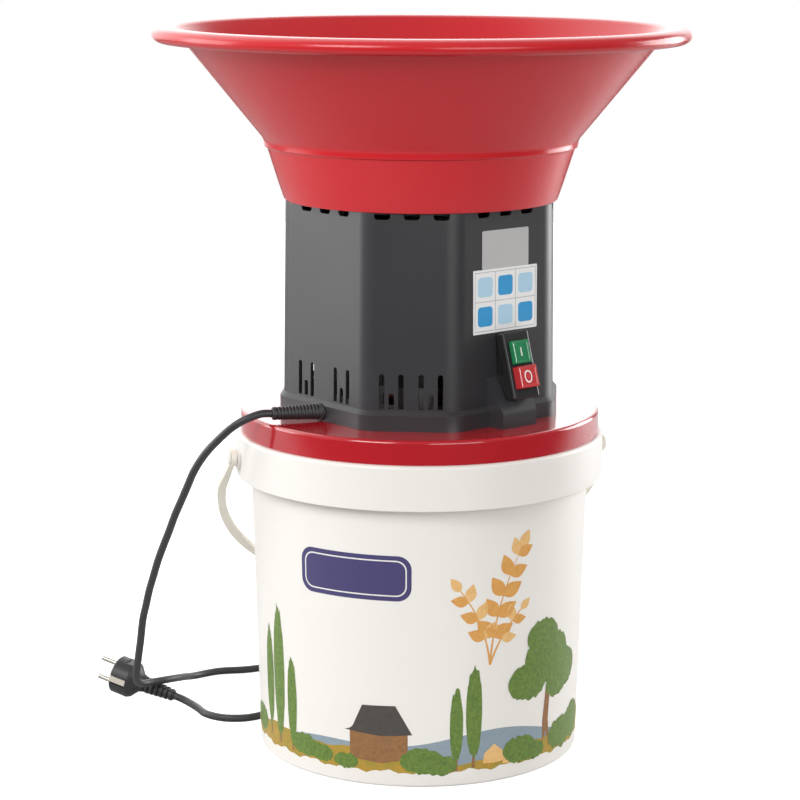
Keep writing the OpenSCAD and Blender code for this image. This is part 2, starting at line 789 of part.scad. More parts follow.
module motor_leads()
    color("black") {
        lead_arc(225 + lead_side, 315);
        // a stiff sleeve carries the lead up to the switch
        rotate([0, 0, 315]) translate([lead_ring, 0, lead_z - sleeve_r]) {
            cylinder(r = sleeve_r, h = switch_lead_z - lead_z + 2 * sleeve_r);
            translate([0, 0, switch_lead_z - lead_z + sleeve_r]) rotate([0, 90, 0])
                cylinder(r = lead_r, h = switch_lead_n - lead_ring);
        }
        lead_arc(cap_turn, 225 - lead_side);
        rotate([0, 0, 225]) translate([tail_start, tail_side, lead_z]) rotate([0, 90, 0])
            cylinder(r = lead_r, h = block_n - block_w / 2 - tail_start);
    }

module cord_stub()
    color("black") rotate([0, 0, 225]) translate([block_n + block_w / 2, 0, relief_z])
        rotate([0, 90, 0]) cylinder(r = cord_d / 2, h = flange_n - 9 - block_n - block_w / 2);

// ---------------------------------------------------------------- grinding chamber
stud_turn = 45;
stud_tail = 18;
stud_len = sieve_h + floor_t + stud_tail;
washer_rim = 3.5;
ear_rim = 5;
ear_reach = 8;
hole_rows = 2;
hole_cols = 24;
hole_r = 5;

module sieve_ring() {
    color("silver") translate([0, 0, sieve_low]) difference() {
        cylinder(r = sieve_r + sieve_t, h = sieve_h, $fn = 128);
        translate([0, 0, -1]) cylinder(r = sieve_r, h = sieve_h + 2, $fn = 128);
        for (row = [0:hole_rows - 1], i = [0:hole_cols / 2 - 1])
            rotate([0, 0, (i + row / 2) * 360 / hole_cols])
                translate([0, 0, sieve_h * (row + 1) / (hole_rows + 1)]) rotate([90, 0, 0])
                    cylinder(r = hole_r, h = 3 * sieve_r, center = true, $fn = 8);
    }
}

module chamber_floor() {
    color("silver") translate([0, 0, sieve_low - floor_t]) difference() {
        union() {
            cylinder(r = sieve_r + sieve_t + 3, h = floor_t);
            at_ring(3, stud_ring, stud_turn) cylinder(r = stud_r + ear_rim, h = floor_t);
            at_ring(3, stud_ring - ear_reach, stud_turn) translate([-ear_reach, -stud_r - ear_rim, 0])
                cube([2 * ear_reach, 2 * (stud_r + ear_rim), floor_t]);
        }
        at_ring(3, stud_ring, stud_turn) translate([0, 0, -1])
            cylinder(r = stud_r + hole_gap, h = floor_t + 2);
    }
}

module chamber_studs()
    color("silver") at_ring(3, stud_ring, stud_turn)
        translate([0, 0, plate_low - stud_len]) cylinder(r = stud_r, h = stud_len);

washer_t = 1.2;
module stud_washers()
    color("silver") at_ring(3, stud_ring, stud_turn)
        translate([0, 0, sieve_low - floor_t - washer_t]) difference() {
            cylinder(r = stud_r + washer_rim, h = washer_t);
            translate([0, 0, -1]) cylinder(r = stud_r + hole_gap, h = washer_t + 2);
        }

nut_r = 2.6;
nut_h = 7;
wing_t = 2.2;
wing_reach = 9;
wing_h = 13;
module wing_nuts()
    color("silver") at_ring(3, stud_ring, stud_turn)
        translate([0, 0, sieve_low - floor_t - washer_t]) rotate([0, 0, 90]) mirror([0, 0, 1]) {
            difference() {
                union() {
                    cylinder(r1 = stud_r + nut_r, r2 = stud_r + 0.7 * nut_r, h = nut_h);
                    for (side = [0, 180]) rotate([0, 0, side]) rotate([90, 0, 0])
                        translate([0, 0, -wing_t / 2]) linear_extrude(wing_t)
                            polygon([[stud_r + 1, 1], [stud_r + wing_reach, nut_h],
                                [stud_r + wing_reach, wing_h - 1], [stud_r + 0.7 * wing_reach, wing_h],
                                [stud_r + 1, nut_h - 1]]);
                }
                translate([0, 0, -1]) cylinder(r = stud_r + 0.02, h = 20);
            }
        }

module beater_bar(z, turn)
    color("darkgray") translate([0, 0, z]) rotate([0, 0, turn]) difference() {
        intersection() {
            translate([-beater_r, -beater_w / 2, 0]) cube([2 * beater_r, beater_w, beater_t]);
            cylinder(r = beater_r, h = beater_t);
        }
        translate([0, 0, -1]) cylinder(r = tail_r, h = beater_t + 2);
    }

module tube(r, bore, h)
    difference() {
        cylinder(r = r, h = h);
        translate([0, 0, -1]) cylinder(r = bore, h = h + 2);
    }

module upper_beater() beater_bar(beater_top - beater_t, 45);
module lower_beater() beater_bar(beaters_low, 135);
module beater_spacer()
    color("silver") translate([0, 0, beater_top - beater_t - spacer_h])
        tube(tail_r + spacer_wall, tail_r, spacer_h);
module beater_washer()
    color("silver") translate([0, 0, beaters_low - end_washer_t])
        tube(tail_r + spacer_wall + 1, tail_r, end_washer_t);
module beater_nut()
    color("silver") translate([0, 0, beaters_low - end_washer_t - end_nut_h]) difference() {
        cylinder(r = end_nut_r, h = end_nut_h, $fn = 6);
        translate([0, 0, -1]) cylinder(r = tail_r, h = end_nut_h + 2);
    }

// ---------------------------------------------------------------- switch
button_low = 1;
on_mid = switch_mid + 11;
off_mid = switch_mid - 11;

// A box on the console: sideways middle, middle up the slope, width, length, from and to heights
module console_box(mid, w, l, low, high)
    on_console() translate([low, switch_side - w / 2, mid - l / 2]) cube([high - low, w, l]);

module switch_bezel() {
    inner = bezel_h - 2;
    color("black") difference() {
        console_box(switch_mid, bezel_w, bezel_l, 0, bezel_h);
        console_box(switch_mid, bezel_w - 2 * bezel_wall, bezel_l - 2 * bezel_wall, -1, inner);
        console_box(on_mid, on_w + 2 * button_gap, on_l + 2 * button_gap, 0, bezel_h + 1);
        console_box(off_mid, off_w + 2 * button_gap, off_l + 2 * button_gap, 0, bezel_h + 1);
    }
}

module switch_body() {
    pocket = button_low - press - button_gap;
    color("black") difference() {
        union() {
            console_box(switch_mid, body_hole_w, body_len, 0, bezel_h - 2);
            console_box(switch_mid, body_low_w, body_low_len, -body_depth, eps);
        }
        console_box(on_mid, on_w + 2 * button_gap, on_l + 2 * button_gap, pocket, bezel_h);
        console_box(off_mid, off_w + 2 * button_gap, off_l + 2 * button_gap, pocket, bezel_h);
    }
}

module on_button()
    color("seagreen") console_box(on_mid, on_w, on_l, button_low, bezel_h + on_out);
module off_button()
    color("red") console_box(off_mid, off_w, off_l, button_low, bezel_h + off_out);

// Labels lie on the drafted face above the console
label_t = 0.3;
draft = atan2(diag_low - diag_high, housing_h - 1);
module face_label(w, z_low, z_high) {
    rotate([0, 0, -45]) translate([diag_at(z_low), -w / 2, z_low]) rotate([0, -draft, 0])
        cube([label_t, w, (z_high - z_low) / cos(draft)]);
}

sticker_foot = plate_top + sticker_low;
sticker_top = sticker_foot + sticker_h;
module info_sticker() color("white") face_label(sticker_w, sticker_foot, sticker_top);
module rating_label() color("silver") face_label(label_w, sticker_top, deck_top - label_drop);

// ---------------------------------------------------------------- strain relief
relief_z = plate_top + 8;
relief_neck_r = 5.5;
relief_turn = 197.5;
flange_n = diag_low + flange_out;
relief_root_at = [-(flange_n - 2) / sqrt(2), -(flange_n - 2) / sqrt(2), relief_z];
relief_dir = [cos(relief_turn), sin(relief_turn), 0];
relief_tip_at = relief_root_at + relief_len * relief_dir;

// The neck through the housing's flange, along the face's normal
module relief_neck(r)
    rotate([0, 0, 225]) translate([flange_n - 9, 0, relief_z]) rotate([0, 90, 0])
        cylinder(r = r, h = 12);

module strain_relief()
    color("black") {
        relief_neck(relief_neck_r);
        rotate([0, 0, 225]) translate([flange_n, 0, relief_z]) rotate([0, 90, 0])
            cylinder(r = relief_root + 0.6, h = 2.5);
        translate(relief_root_at) {
            sphere(r = relief_root);
            rotate([0, 0, relief_turn]) rotate([0, 90, 0])
                cylinder(r1 = relief_root, r2 = relief_tip, h = relief_len);
        }
    }

// ---------------------------------------------------------------- mains cord
// Routes: the hanging stretch starts at the strain relief's tip
hang_route = [relief_tip_at, relief_tip_at + 10 * relief_dir, [-146, -100, 312.8], [-158, -99, 304.6],
    [-170, -95, 293], [-179, -90, 283], [-187, -84, 272], [-194, -77, 260], [-200, -69, 247],
    [-207, -60, 232], [-215, -50, 215], [-222, -40, 198], [-229, -30, 182], [-236, -20, 165],
    [-242, -10, 148], [-248, 0, 131], [-253, 10, 114], [-258, 20, 97], [-261, 23.5, 76.5]];
run_route = [[-261, 23.5, 76.5], [-264, 25, 57], [-267, 31, 41], [-268, 41.5, 30.5], [-265, 53, 24.5],
    [-258, 65, 22.5], [-246.5, 76.5, 21.5], [-238.5, 92.5, 18.5], [-234.5, 114, 13], [-229, 142, 5.5],
    [-208.5, 163, 4], [-180, 173, 3.5], [-150, 190.5, 3.5], [-118, 207.5, 3.5],
    [-84, 223.5, 3.5], [-48, 236, 3.5], [-12, 241, 3.5]];
lead_route = [[-12, 159, 10.5], [-38, 158, 9], [-64, 152.5, 6], [-88, 140, 3.8], [-109, 122, 3.5],
    [-125, 103, 3.5], [-136.5, 82, 3.5], [-139, 62.5, 3.5], [-141, 49.5, 3.5], [-147.5, 35, 3.5],
    [-156.5, 26, 3.5], [-168.5, 21, 3.5], [-185, 21.5, 3.5], [-201.5, 31.5, 3.5],
    [-212, 48.5, 3.5], [-221.5, 61, 4]];
coil_at = [-12, 200];
coil_mid_r = 37.5;
route_steps = 2;
ring_sides = 10;
// Clearance between the cord's hanging stretch and the one that lies on the floor
split = 0.6;

// A point on the smooth curve through a route, t from 0 to its last index
function on_route(p, t) =
    let (n = len(p) - 1, i = min(floor(t), n - 1), f = t - i,
        a = p[max(i - 1, 0)], b = p[i], c = p[i + 1], d = p[min(i + 2, n)])
    0.5 * (2 * b + (c - a) * f + (2 * a - 5 * b + 4 * c - d) * f * f
        + (3 * b - a - 3 * c + d) * f * f * f);
function unit(v) = v / norm(v);

// A tube of radius r swept along a route and never below the floor; side is a direction that the route
// never takes
module swept(p, r, side, cut_start = 0, cut_end = 0) {
    n = (len(p) - 1) * route_steps;
    line = [for (i = [0:n]) let (q = on_route(p, i / route_steps)) [q[0], q[1], max(q[2], r)]];
    way = [for (i = [0:n]) unit(line[min(i + 1, n)] - line[max(i - 1, 0)])];
    mid = [for (i = [0:n]) line[i] + (i == 0 ? cut_start * way[0] : i == n ? -cut_end * way[n] : [0, 0, 0])];
    rings = [for (i = [0:n]) let (u = unit(cross(way[i], side)), v = cross(way[i], u))
        for (k = [0:ring_sides - 1]) let (a = 360 * k / ring_sides)
            mid[i] + r * (cos(a) * u + sin(a) * v)];
    walls = [for (i = [0:n - 1], k = [0:ring_sides - 1]) let (j = (k + 1) % ring_sides)
        [i * ring_sides + k, i * ring_sides + j, (i + 1) * ring_sides + j, (i + 1) * ring_sides + k]];
    polyhedron(points = rings, faces = concat(walls,
        [[for (k = [ring_sides - 1:-1:0]) k], [for (k = [0:ring_sides - 1]) n * ring_sides + k]]));
}

module cord_hanging() color("black") swept(hang_route, cord_d / 2, [0.2, 0.85, 0.5], 0, split);
module cord_run() color("black") swept(run_route, cord_d / 2, [0.75, -0.45, 0.6]);
module cord_lead() color("black")
    swept(concat(lead_route, [plug_at + 8 * plug_way + plug_end, plug_at + plug_end]), cord_d / 2, [0, 0, 1]);

module cord_coil()
    color("black") translate([coil_at[0], coil_at[1], 0]) rotate_extrude() {
        translate([coil_mid_r - cord_d, cord_d / 2]) square([2 * cord_d, cord_d]);
        for (side = [-1, 1], z = [0.5, 1.5]) translate([coil_mid_r + side * cord_d / 2, z * cord_d])
            circle(r = cord_d / 2, $fn = 24);
        translate([coil_mid_r - cord_d / 2, 0]) square([cord_d, 2 * cord_d]);
    }

// ---------------------------------------------------------------- plug
// The plug lies on the floor: the rear edge of its head and its front touch down
plug_yaw = -17.7;
plug_tilt = 14;
plug_way = [cos(plug_tilt) * cos(plug_yaw), cos(plug_tilt) * sin(plug_yaw), -sin(plug_tilt)];
plug_at = [-296, 88.5, plug_r * cos(plug_tilt) + plug_head * sin(plug_tilt)];
plug_neck = 9;
plug_boot = 31;
plug_end = (plug_head + plug_neck + plug_boot) * plug_way;
pin_pitch = 19;

module on_plug() translate(plug_at) rotate([0, 0, plug_yaw]) rotate([0, 90 + plug_tilt, 0]) children();

module plug_body() {
    color("black") on_plug() {
        difference() {
            union() {
                cylinder(r = plug_r, h = plug_head - 3);
                translate([0, 0, plug_head - 3]) cylinder(r1 = plug_r, r2 = plug_r - 4, h = 3);
            }
            for (side = [-1, 1]) translate([-4, side * plug_r - 2.5, -1]) cube([8, 5, plug_head - 5]);
        }
        translate([0, 0, plug_head - eps]) cylinder(r1 = 11, r2 = 8.5, h = plug_neck + 2 * eps);
        translate([0, 0, plug_head + plug_neck]) {
            cylinder(r1 = 7, r2 = 4.8, h = plug_boot);
            for (i = [0:5]) translate([0, 0, 1 + i * 5]) cylinder(r = 7.8 - 0.4 * i, h = 2.6);
        }
    }
}

module plug_pins()
    color("silver") on_plug() for (side = [-1, 1]) translate([side * pin_pitch / 2, 0, -pin_len]) {
        cylinder(r = pin_r, h = pin_len);
    }

module plug_earth_clips()
    color("silver") on_plug() for (side = [-1, 1])
        translate([-3, side * (plug_r - 1.7) - 0.6, 0]) cube([6, 1.2, plug_head - 6]);

// ---------------------------------------------------------------- every node
pail();
pail_band();
bail();
lid_plate();
housing();
housing_screws();
hopper();
hopper_screws();
feed_chute();
gate();
gate_rails();
gate_screws();
motor_lower_shield();
stator_core();
stator_winding();
motor_upper_shield();
motor_bolts();
motor_mount_bolts();
lower_bearing();
upper_bearing();
rotor_core();
rotor_cage();
shaft();
cooling_fan();
capacitor();
capacitor_cup();
terminal_block();
motor_leads();
cord_stub();
sieve_ring();
chamber_floor();
chamber_studs();
wing_nuts();
stud_washers();
lower_beater();
upper_beater();
beater_spacer();
beater_washer();
beater_nut();
switch_body();
switch_bezel();
on_button();
off_button();
rating_label();
info_sticker();
strain_relief();
cord_hanging();
cord_run();
cord_coil();
cord_lead();
plug_body();
plug_pins();
plug_earth_clips();
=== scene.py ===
"""Electric grain mill: a motor head with a wide red feed hopper, standing on a printed flour pail."""
import random
from math import atan2, ceil, cos, hypot, pi, radians, sin

import bmesh
import bpy
from mathutils import Matrix, Vector


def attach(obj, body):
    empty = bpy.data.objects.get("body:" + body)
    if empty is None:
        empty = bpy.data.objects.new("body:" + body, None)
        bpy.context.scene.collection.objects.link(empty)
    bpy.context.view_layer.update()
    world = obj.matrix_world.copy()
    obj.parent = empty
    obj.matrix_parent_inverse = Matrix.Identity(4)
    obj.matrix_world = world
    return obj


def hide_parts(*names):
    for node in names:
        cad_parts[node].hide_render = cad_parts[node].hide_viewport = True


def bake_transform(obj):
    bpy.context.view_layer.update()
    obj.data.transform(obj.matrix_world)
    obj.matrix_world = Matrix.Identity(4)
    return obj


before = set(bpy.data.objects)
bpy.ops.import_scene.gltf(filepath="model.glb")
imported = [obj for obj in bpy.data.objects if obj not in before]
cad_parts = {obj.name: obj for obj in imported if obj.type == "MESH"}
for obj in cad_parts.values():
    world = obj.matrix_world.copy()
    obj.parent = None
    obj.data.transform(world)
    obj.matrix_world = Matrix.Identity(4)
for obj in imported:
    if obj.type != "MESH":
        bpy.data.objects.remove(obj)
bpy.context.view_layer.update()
mm = 0.001

# ---- Camera ----
# Stands at worktop height a little over two metres in front, turned slightly to the mill's left,
# with a long lens, so that the pail's sides stay almost upright.
camera_at = (0.1385, -2.2006, 0.7506)
camera_turn, camera_tip, camera_roll = radians(4.06), radians(78.79), radians(0.2)
camera_data = bpy.data.cameras.new("camera")
camera_data.sensor_width = 36
camera_data.lens = 112.7
camera = bpy.data.objects.new("camera", camera_data)
bpy.context.scene.collection.objects.link(camera)
camera.matrix_world = (
    Matrix.Translation(camera_at)
    @ Matrix.Rotation(camera_turn, 4, "Z")
    @ Matrix.Rotation(camera_tip, 4, "X")
    @ Matrix.Rotation(camera_roll, 4, "Z")
)
bpy.context.scene.camera = camera

# ---- Mains cord ----
# Black flexible vinyl, 7 mm across. It leaves the strain relief, hangs to the floor, crosses the plug's
# boot, runs behind the pail into a coil of three and a half turns, and comes back out to the plug.
cord_d = 7 * mm
tie_t = 0.75 * mm
plate_top = 310 * mm
relief_z = plate_top + 8 * mm
relief_len = 44.5 * mm
relief_turn = radians(197.5)
relief_way = Vector((cos(relief_turn), sin(relief_turn), 0))
flange_face = 114.6 * mm
relief_side = radians(225)
relief_root = flange_face - 2 * mm
relief_root_at = Vector((relief_root * cos(relief_side), relief_root * sin(relief_side), relief_z))
relief_tip = relief_root_at + relief_len * relief_way
plug_r = 18 * mm
plug_head = 23 * mm
plug_neck = 9 * mm
plug_boot = 31 * mm
plug_yaw = radians(-17.7)
plug_tilt = radians(14)
plug_way = Vector((cos(plug_tilt) * cos(plug_yaw), cos(plug_tilt) * sin(plug_yaw), -sin(plug_tilt)))
plug_at = Vector((-296 * mm, 88.5 * mm, plug_r * cos(plug_tilt) + plug_head * sin(plug_tilt)))
plug_end = plug_at + (plug_head + plug_neck + plug_boot) * plug_way


def places(*points):
    """Points in millimetres as vectors in metres."""
    return [Vector(p) * mm for p in points]


hang_route = [relief_tip, relief_tip + 10 * mm * relief_way] + places(
    (-146, -100, 312.8), (-158, -99, 304.6), (-170, -95, 293), (-179, -90, 283), (-187, -84, 272),
    (-194, -77, 260), (-200, -69, 247), (-207, -60, 232), (-215, -50, 215), (-222, -40, 198),
    (-229, -30, 182), (-236, -20, 165), (-242, -10, 148), (-248, 0, 131), (-253, 10, 114),
    (-258, 20, 97), (-261, 23.5, 76.5))
run_route = places(
    (-261, 23.5, 76.5), (-264, 25, 57), (-267, 31, 41), (-268, 41.5, 30.5), (-265, 53, 24.5),
    (-258, 65, 22.5), (-246.5, 76.5, 21.5), (-238.5, 92.5, 18.5), (-234.5, 114, 13), (-229, 142, 5.5),
    (-208.5, 163, 4), (-180, 173, 3.5), (-150, 190.5, 3.5), (-118, 207.5, 3.5),
    (-84, 223.5, 3.5), (-48, 236, 3.5), (-12, 241, 3.5))
lead_route = places(
    (-12, 159, 10.5), (-38, 158, 9), (-64, 152.5, 6), (-88, 140, 3.8), (-109, 122, 3.5),
    (-125, 103, 3.5), (-136.5, 82, 3.5), (-139, 62.5, 3.5), (-141, 49.5, 3.5), (-147.5, 35, 3.5),
    (-156.5, 26, 3.5), (-168.5, 21, 3.5), (-185, 21.5, 3.5), (-201.5, 31.5, 3.5),
    (-212, 48.5, 3.5), (-221.5, 61, 4)) + [plug_end + 8 * mm * plug_way, plug_end]


def eased(t, low, high):
    """0 before low, 1 after high, and smooth between them."""
    f = min(max((t - low) / (high - low), 0), 1)
    return f * f * (3 - 2 * f)


def along(route, steps):
    """The smooth curve through a route's points, without its last point."""
    last = len(route) - 1
    curve = []
    for i in range(last):
        a, b, c, d = (route[min(max(k, 0), last)] for k in (i - 1, i, i + 1, i + 2))
        for step in range(steps):
            f = step / steps
            curve.append(0.5 * (2 * b + (c - a) * f + (2 * a - 5 * b + 4 * c - d) * f ** 2
                                + (3 * b - a - 3 * c + d) * f ** 3))
    return curve


def coiled(centre, turns, steps):
    """The coil: two rings side by side in the lower layer, then the same two in the upper one. It lies on
    its tie, so it stands a little off the floor."""
    inner, outer = 34 * mm, 41 * mm
    turn = []
    for i in range(1, int(turns * steps)):
        t = i / steps
        r = outer - (outer - inner) * (eased(t, 0.7, 0.95) - eased(t, 2.7, 2.95))
        angle = pi / 2 - 2 * pi * t
        lift = 1.2 * tie_t * (eased(t, 0.03, 0.24) - eased(t, 3.34, 3.5))
        z = lift + cord_d * (0.5 + eased(t, 1.65, 1.95))
        turn.append(Vector((centre[0] + r * cos(angle), centre[1] + r * sin(angle), z)))
    return turn


route_steps = 5
coil_at = Vector((-12 * mm, 200 * mm, 0))
cord_path = (along(hang_route, route_steps) + along(run_route, route_steps) + [run_route[-1]]
             + coiled(coil_at, 3.5, 40) + along(lead_route, route_steps) + [plug_end])


def tube(name, path, r, sides):
    """A closed round tube whose rings are centred on the path's points."""
    line = bpy.data.curves.new(name, "CURVE")
    line.dimensions = "3D"
    line.bevel_depth = r
    line.bevel_resolution = (sides - 4) // 2
    line.use_fill_caps = True
    spline = line.splines.new("POLY")
    spline.points.add(len(path) - 1)
    for point, place in zip(spline.points, path):
        point.co = (*place, 1)
    piece = bpy.data.objects.new(name, line)
    bpy.context.scene.collection.objects.link(piece)
    bpy.ops.object.select_all(action="DESELECT")
    piece.select_set(True)
    bpy.context.view_layer.objects.active = piece
    bpy.ops.object.convert(target="MESH")
    bpy.ops.object.shade_smooth()
    return bpy.context.active_object


def feed(node, given):
    """Fills a shader node's sockets, by name or number, with values or with the outputs that drive them."""
    for name, source in given.items():
        if isinstance(source, bpy.types.NodeSocket):
            node.id_data.links.new(source, node.inputs[name])
        else:
            node.inputs[name].default_value = source
    return node


def surface_group():
    """Fine moulded or rolled grain: a normal with small bumps, and a slow cloudy mask."""
    group = bpy.data.node_groups.new("surface grain", "ShaderNodeTree")
    for name, value in (("Scale", 900.0), ("Depth", 0.00002), ("Cloud Scale", 14.0)):
        socket = group.interface.new_socket(name, in_out="INPUT", socket_type="NodeSocketFloat")
        socket.default_value = value
    group.interface.new_socket("Normal", in_out="OUTPUT", socket_type="NodeSocketVector")
    group.interface.new_socket("Cloud", in_out="OUTPUT", socket_type="NodeSocketFloat")
    nodes = group.nodes
    given = nodes.new("NodeGroupInput").outputs
    place = nodes.new("ShaderNodeTexCoord").outputs["Object"]
    grain, cloud = (
        feed(nodes.new("ShaderNodeTexNoise"), {"Vector": place, "Scale": given[scale], "Detail": detail})
        for scale, detail in (("Scale", 3), ("Cloud Scale", 4)))
    bump = feed(nodes.new("ShaderNodeBump"), {"Height": grain.outputs["Fac"], "Distance": given["Depth"]})
    feed(nodes.new("NodeGroupOutput"), {"Normal": bump.outputs["Normal"], "Cloud": cloud.outputs["Fac"]})
    return group


grain_group = surface_group()


def surface(name, colour, shade, rough, scale=900, depth=0.00002, cloud=14, metallic=0.0, coat=0.0,
            coat_rough=0.05, specular=0.5):
    """A material whose colour drifts between two tints and whose gloss drifts between two roughnesses."""
    material = bpy.data.materials.new(name)
    material.use_nodes = True
    nodes = material.node_tree.nodes
    grain = nodes.new("ShaderNodeGroup")
    grain.node_tree = grain_group
    feed(grain, {"Scale": scale, "Depth": depth, "Cloud Scale": cloud})
    tint = nodes.new("ShaderNodeMix")
    tint.data_type = "RGBA"
    feed(tint, {"A": (*colour, 1), "B": (*shade, 1), "Factor": grain.outputs["Cloud"]})
    gloss = nodes.new("ShaderNodeMapRange")
    gloss.interpolation_type = "SMOOTHSTEP"
    feed(gloss, {"From Min": 0.2, "From Max": 0.8, "To Min": rough[0], "To Max": rough[1],
                 "Value": grain.outputs["Cloud"]})
    feed(nodes["Principled BSDF"], {
        "Metallic": metallic, "Coat Weight": coat, "Coat Roughness": coat_rough,
        "Specular IOR Level": specular, "Base Color": tint.outputs["Result"],
        "Roughness": gloss.outputs["Result"], "Normal": grain.outputs["Normal"]})
    return material


def dress(piece, body, slot, material, *nodes):
    """Gives a piece its one material and its body, and hides the frame's nodes that it stands for. The slot
    is not used.
    """
    piece.data.materials.clear()
    piece.data.materials.append(material)
    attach(piece, body)
    if nodes:
        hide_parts(*nodes)
    return piece


vinyl = surface("black vinyl", (0.022, 0.022, 0.024), (0.035, 0.035, 0.037), (0.38, 0.5), 1500, 0.00003)
mains_cord = tube("mains_cord", cord_path, cord_d / 2, 16)
mains_cord.data.materials.clear()
mains_cord.data.materials.append(vinyl)
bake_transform(mains_cord)
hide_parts("cord_hanging", "cord_run", "cord_coil", "cord_lead")

# ---- Plug ----
# Earthed two-pin plug, moulded in black vinyl round its pins, with a metal earth clip on each side and a
# ribbed boot that keeps the cord from kinking. It lies on the floor on the rear edge of its head.


def opened(name):
    """Names the primitive that was just added and opens it for editing."""
    piece = bpy.context.active_object
    piece.name = name
    bpy.ops.object.mode_set(mode="EDIT")
    return piece


def closed(piece):
    """Turns all of a piece's faces outwards and ends its editing."""
    bpy.ops.mesh.select_all(action="SELECT")
    bpy.ops.mesh.normals_make_consistent(inside=False)
    bpy.ops.object.mode_set(mode="OBJECT")
    return piece


def turned(name, outline, steps):
    """A turned piece: half its outline, as (radius, height) points, spun once round the upright axis."""
    bpy.ops.object.select_all(action="DESELECT")
    bpy.ops.mesh.primitive_plane_add(size=mm)
    piece = opened(name)
    bpy.ops.mesh.select_mode(type="VERT")
    bpy.ops.mesh.select_all(action="SELECT")
    bpy.ops.mesh.merge(type="CENTER")
    bpy.ops.transform.translate(value=(outline[0][0], 0, outline[0][1]))
    for (r0, z0), (r1, z1) in zip(outline, outline[1:]):
        bpy.ops.mesh.extrude_vertices_move(TRANSFORM_OT_translate={"value": (r1 - r0, 0, z1 - z0)})
    bpy.ops.mesh.select_all(action="SELECT")
    bpy.ops.mesh.spin(steps=steps, angle=2 * pi, center=(0, 0, 0), axis=(0, 0, 1))
    bpy.ops.mesh.select_all(action="SELECT")
    bpy.ops.mesh.remove_doubles(threshold=0.01 * mm)
    return closed(piece)


def block(name, size, at=(0, 0, 0)):
    """A box of that size whose middle lies at a place."""
    bpy.ops.object.select_all(action="DESELECT")
    bpy.ops.mesh.primitive_cube_add(size=1)
    piece = opened(name)
    bpy.ops.transform.resize(value=size)
    bpy.ops.transform.translate(value=at)
    bpy.ops.object.mode_set(mode="OBJECT")
    return piece


def only(piece):
    """Makes a piece the one that is selected and active."""
    bpy.ops.object.select_all(action="DESELECT")
    piece.select_set(True)
    bpy.context.view_layer.objects.active = piece


def even(piece, angle=35):
    """Smooths a piece below an angle, with its large faces left flat."""
    only(piece)
    bpy.ops.object.shade_smooth_by_angle(angle=radians(angle))
    flat = piece.modifiers.new("flat", "WEIGHTED_NORMAL")
    flat.keep_sharp = True
    bpy.ops.object.modifier_apply(modifier=flat.name)
    return piece


def soften(piece, width, segments=2, angle=35):
    """Rounds a piece's edges and smooths what is left between them."""
    only(piece)
    edge = piece.modifiers.new("edge", "BEVEL")
    edge.width = width
    edge.segments = segments
    edge.limit_method = "ANGLE"
    edge.angle_limit = radians(angle)
    bpy.ops.object.modifier_apply(modifier=edge.name)
    return even(piece, angle)


def put(piece, matrix):
    """Moves a piece's mesh to its place and leaves its object at the origin."""
    only(piece)
    piece.matrix_world = matrix
    bpy.ops.object.transform_apply(location=True, rotation=True, scale=True)
    return piece


def cut(piece, *tools, operation="DIFFERENCE"):
    """Cuts the tools out of a piece, or with UNION melts them into it, and throws them away."""
    for tool in tools:
        only(piece)
        cutter = piece.modifiers.new("cut", "BOOLEAN")
        cutter.operation = operation
        cutter.solver = "EXACT"
        cutter.object = tool
        bpy.ops.object.modifier_apply(modifier=cutter.name)
        bpy.data.objects.remove(tool)
    return piece


def joined(*pieces):
    """One piece of several, named as the first."""
    only(pieces[0])
    for piece in pieces[1:]:
        piece.select_set(True)
    bpy.ops.object.join()
    return pieces[0]


def shift(x, y, z):
    """A move along the three axes."""
    return Matrix.Translation((x, y, z))


def spoke(turn, out=0, z=0, side=0, lean=0):
    """The frame of a place: out from the upright axis in a direction, and leaned over by an angle."""
    return Matrix.Rotation(turn, 4, "Z") @ shift(out, side, z) @ Matrix.Rotation(lean, 4, "Y")


on_plug = Matrix.Translation(plug_at) @ spoke(plug_yaw, lean=pi / 2 + plug_tilt)
head_outline = [(0, 0), (plug_r - 1.5 * mm, 0), (plug_r, 1.5 * mm), (plug_r, plug_head - 6 * mm),
                (plug_r - 1.5 * mm, plug_head - 3 * mm), (plug_r - 5 * mm, plug_head),
                (9 * mm, plug_head + 4 * mm), (7.5 * mm, plug_head + plug_neck)]
rib_pitch = 5 * mm
for rib in range(6):
    z = plug_head + plug_neck + rib * rib_pitch
    r = (7.8 - 0.42 * rib) * mm
    head_outline += [(r - 1.7 * mm, z + 0.3 * mm), (r - 1.7 * mm, z + 1.6 * mm), (r, z + 1.9 * mm),
                     (r, z + 4.4 * mm), (r - 1.4 * mm, z + 4.8 * mm)]
head_outline += [(4.4 * mm, plug_head + plug_neck + plug_boot), (0, plug_head + plug_neck + plug_boot)]
plug = turned("plug_body_moulded", head_outline, 64)
clip_slots = [block("slot", (8 * mm, 6 * mm, plug_head - 5 * mm), (0, side * plug_r, plug_head / 2 - 3 * mm))
              for side in (-1, 1)]
grips = [block("grip", (6 * mm, 30 * mm, 8 * mm), (side * (plug_r + 1.6 * mm), 0, plug_head - 9 * mm))
         for side in (-1, 1)]
cut(plug, *clip_slots, *grips)
soften(plug, 0.5 * mm)
put(plug, on_plug)
dress(plug, "pail", "cord_rubber", vinyl, "plug_body")

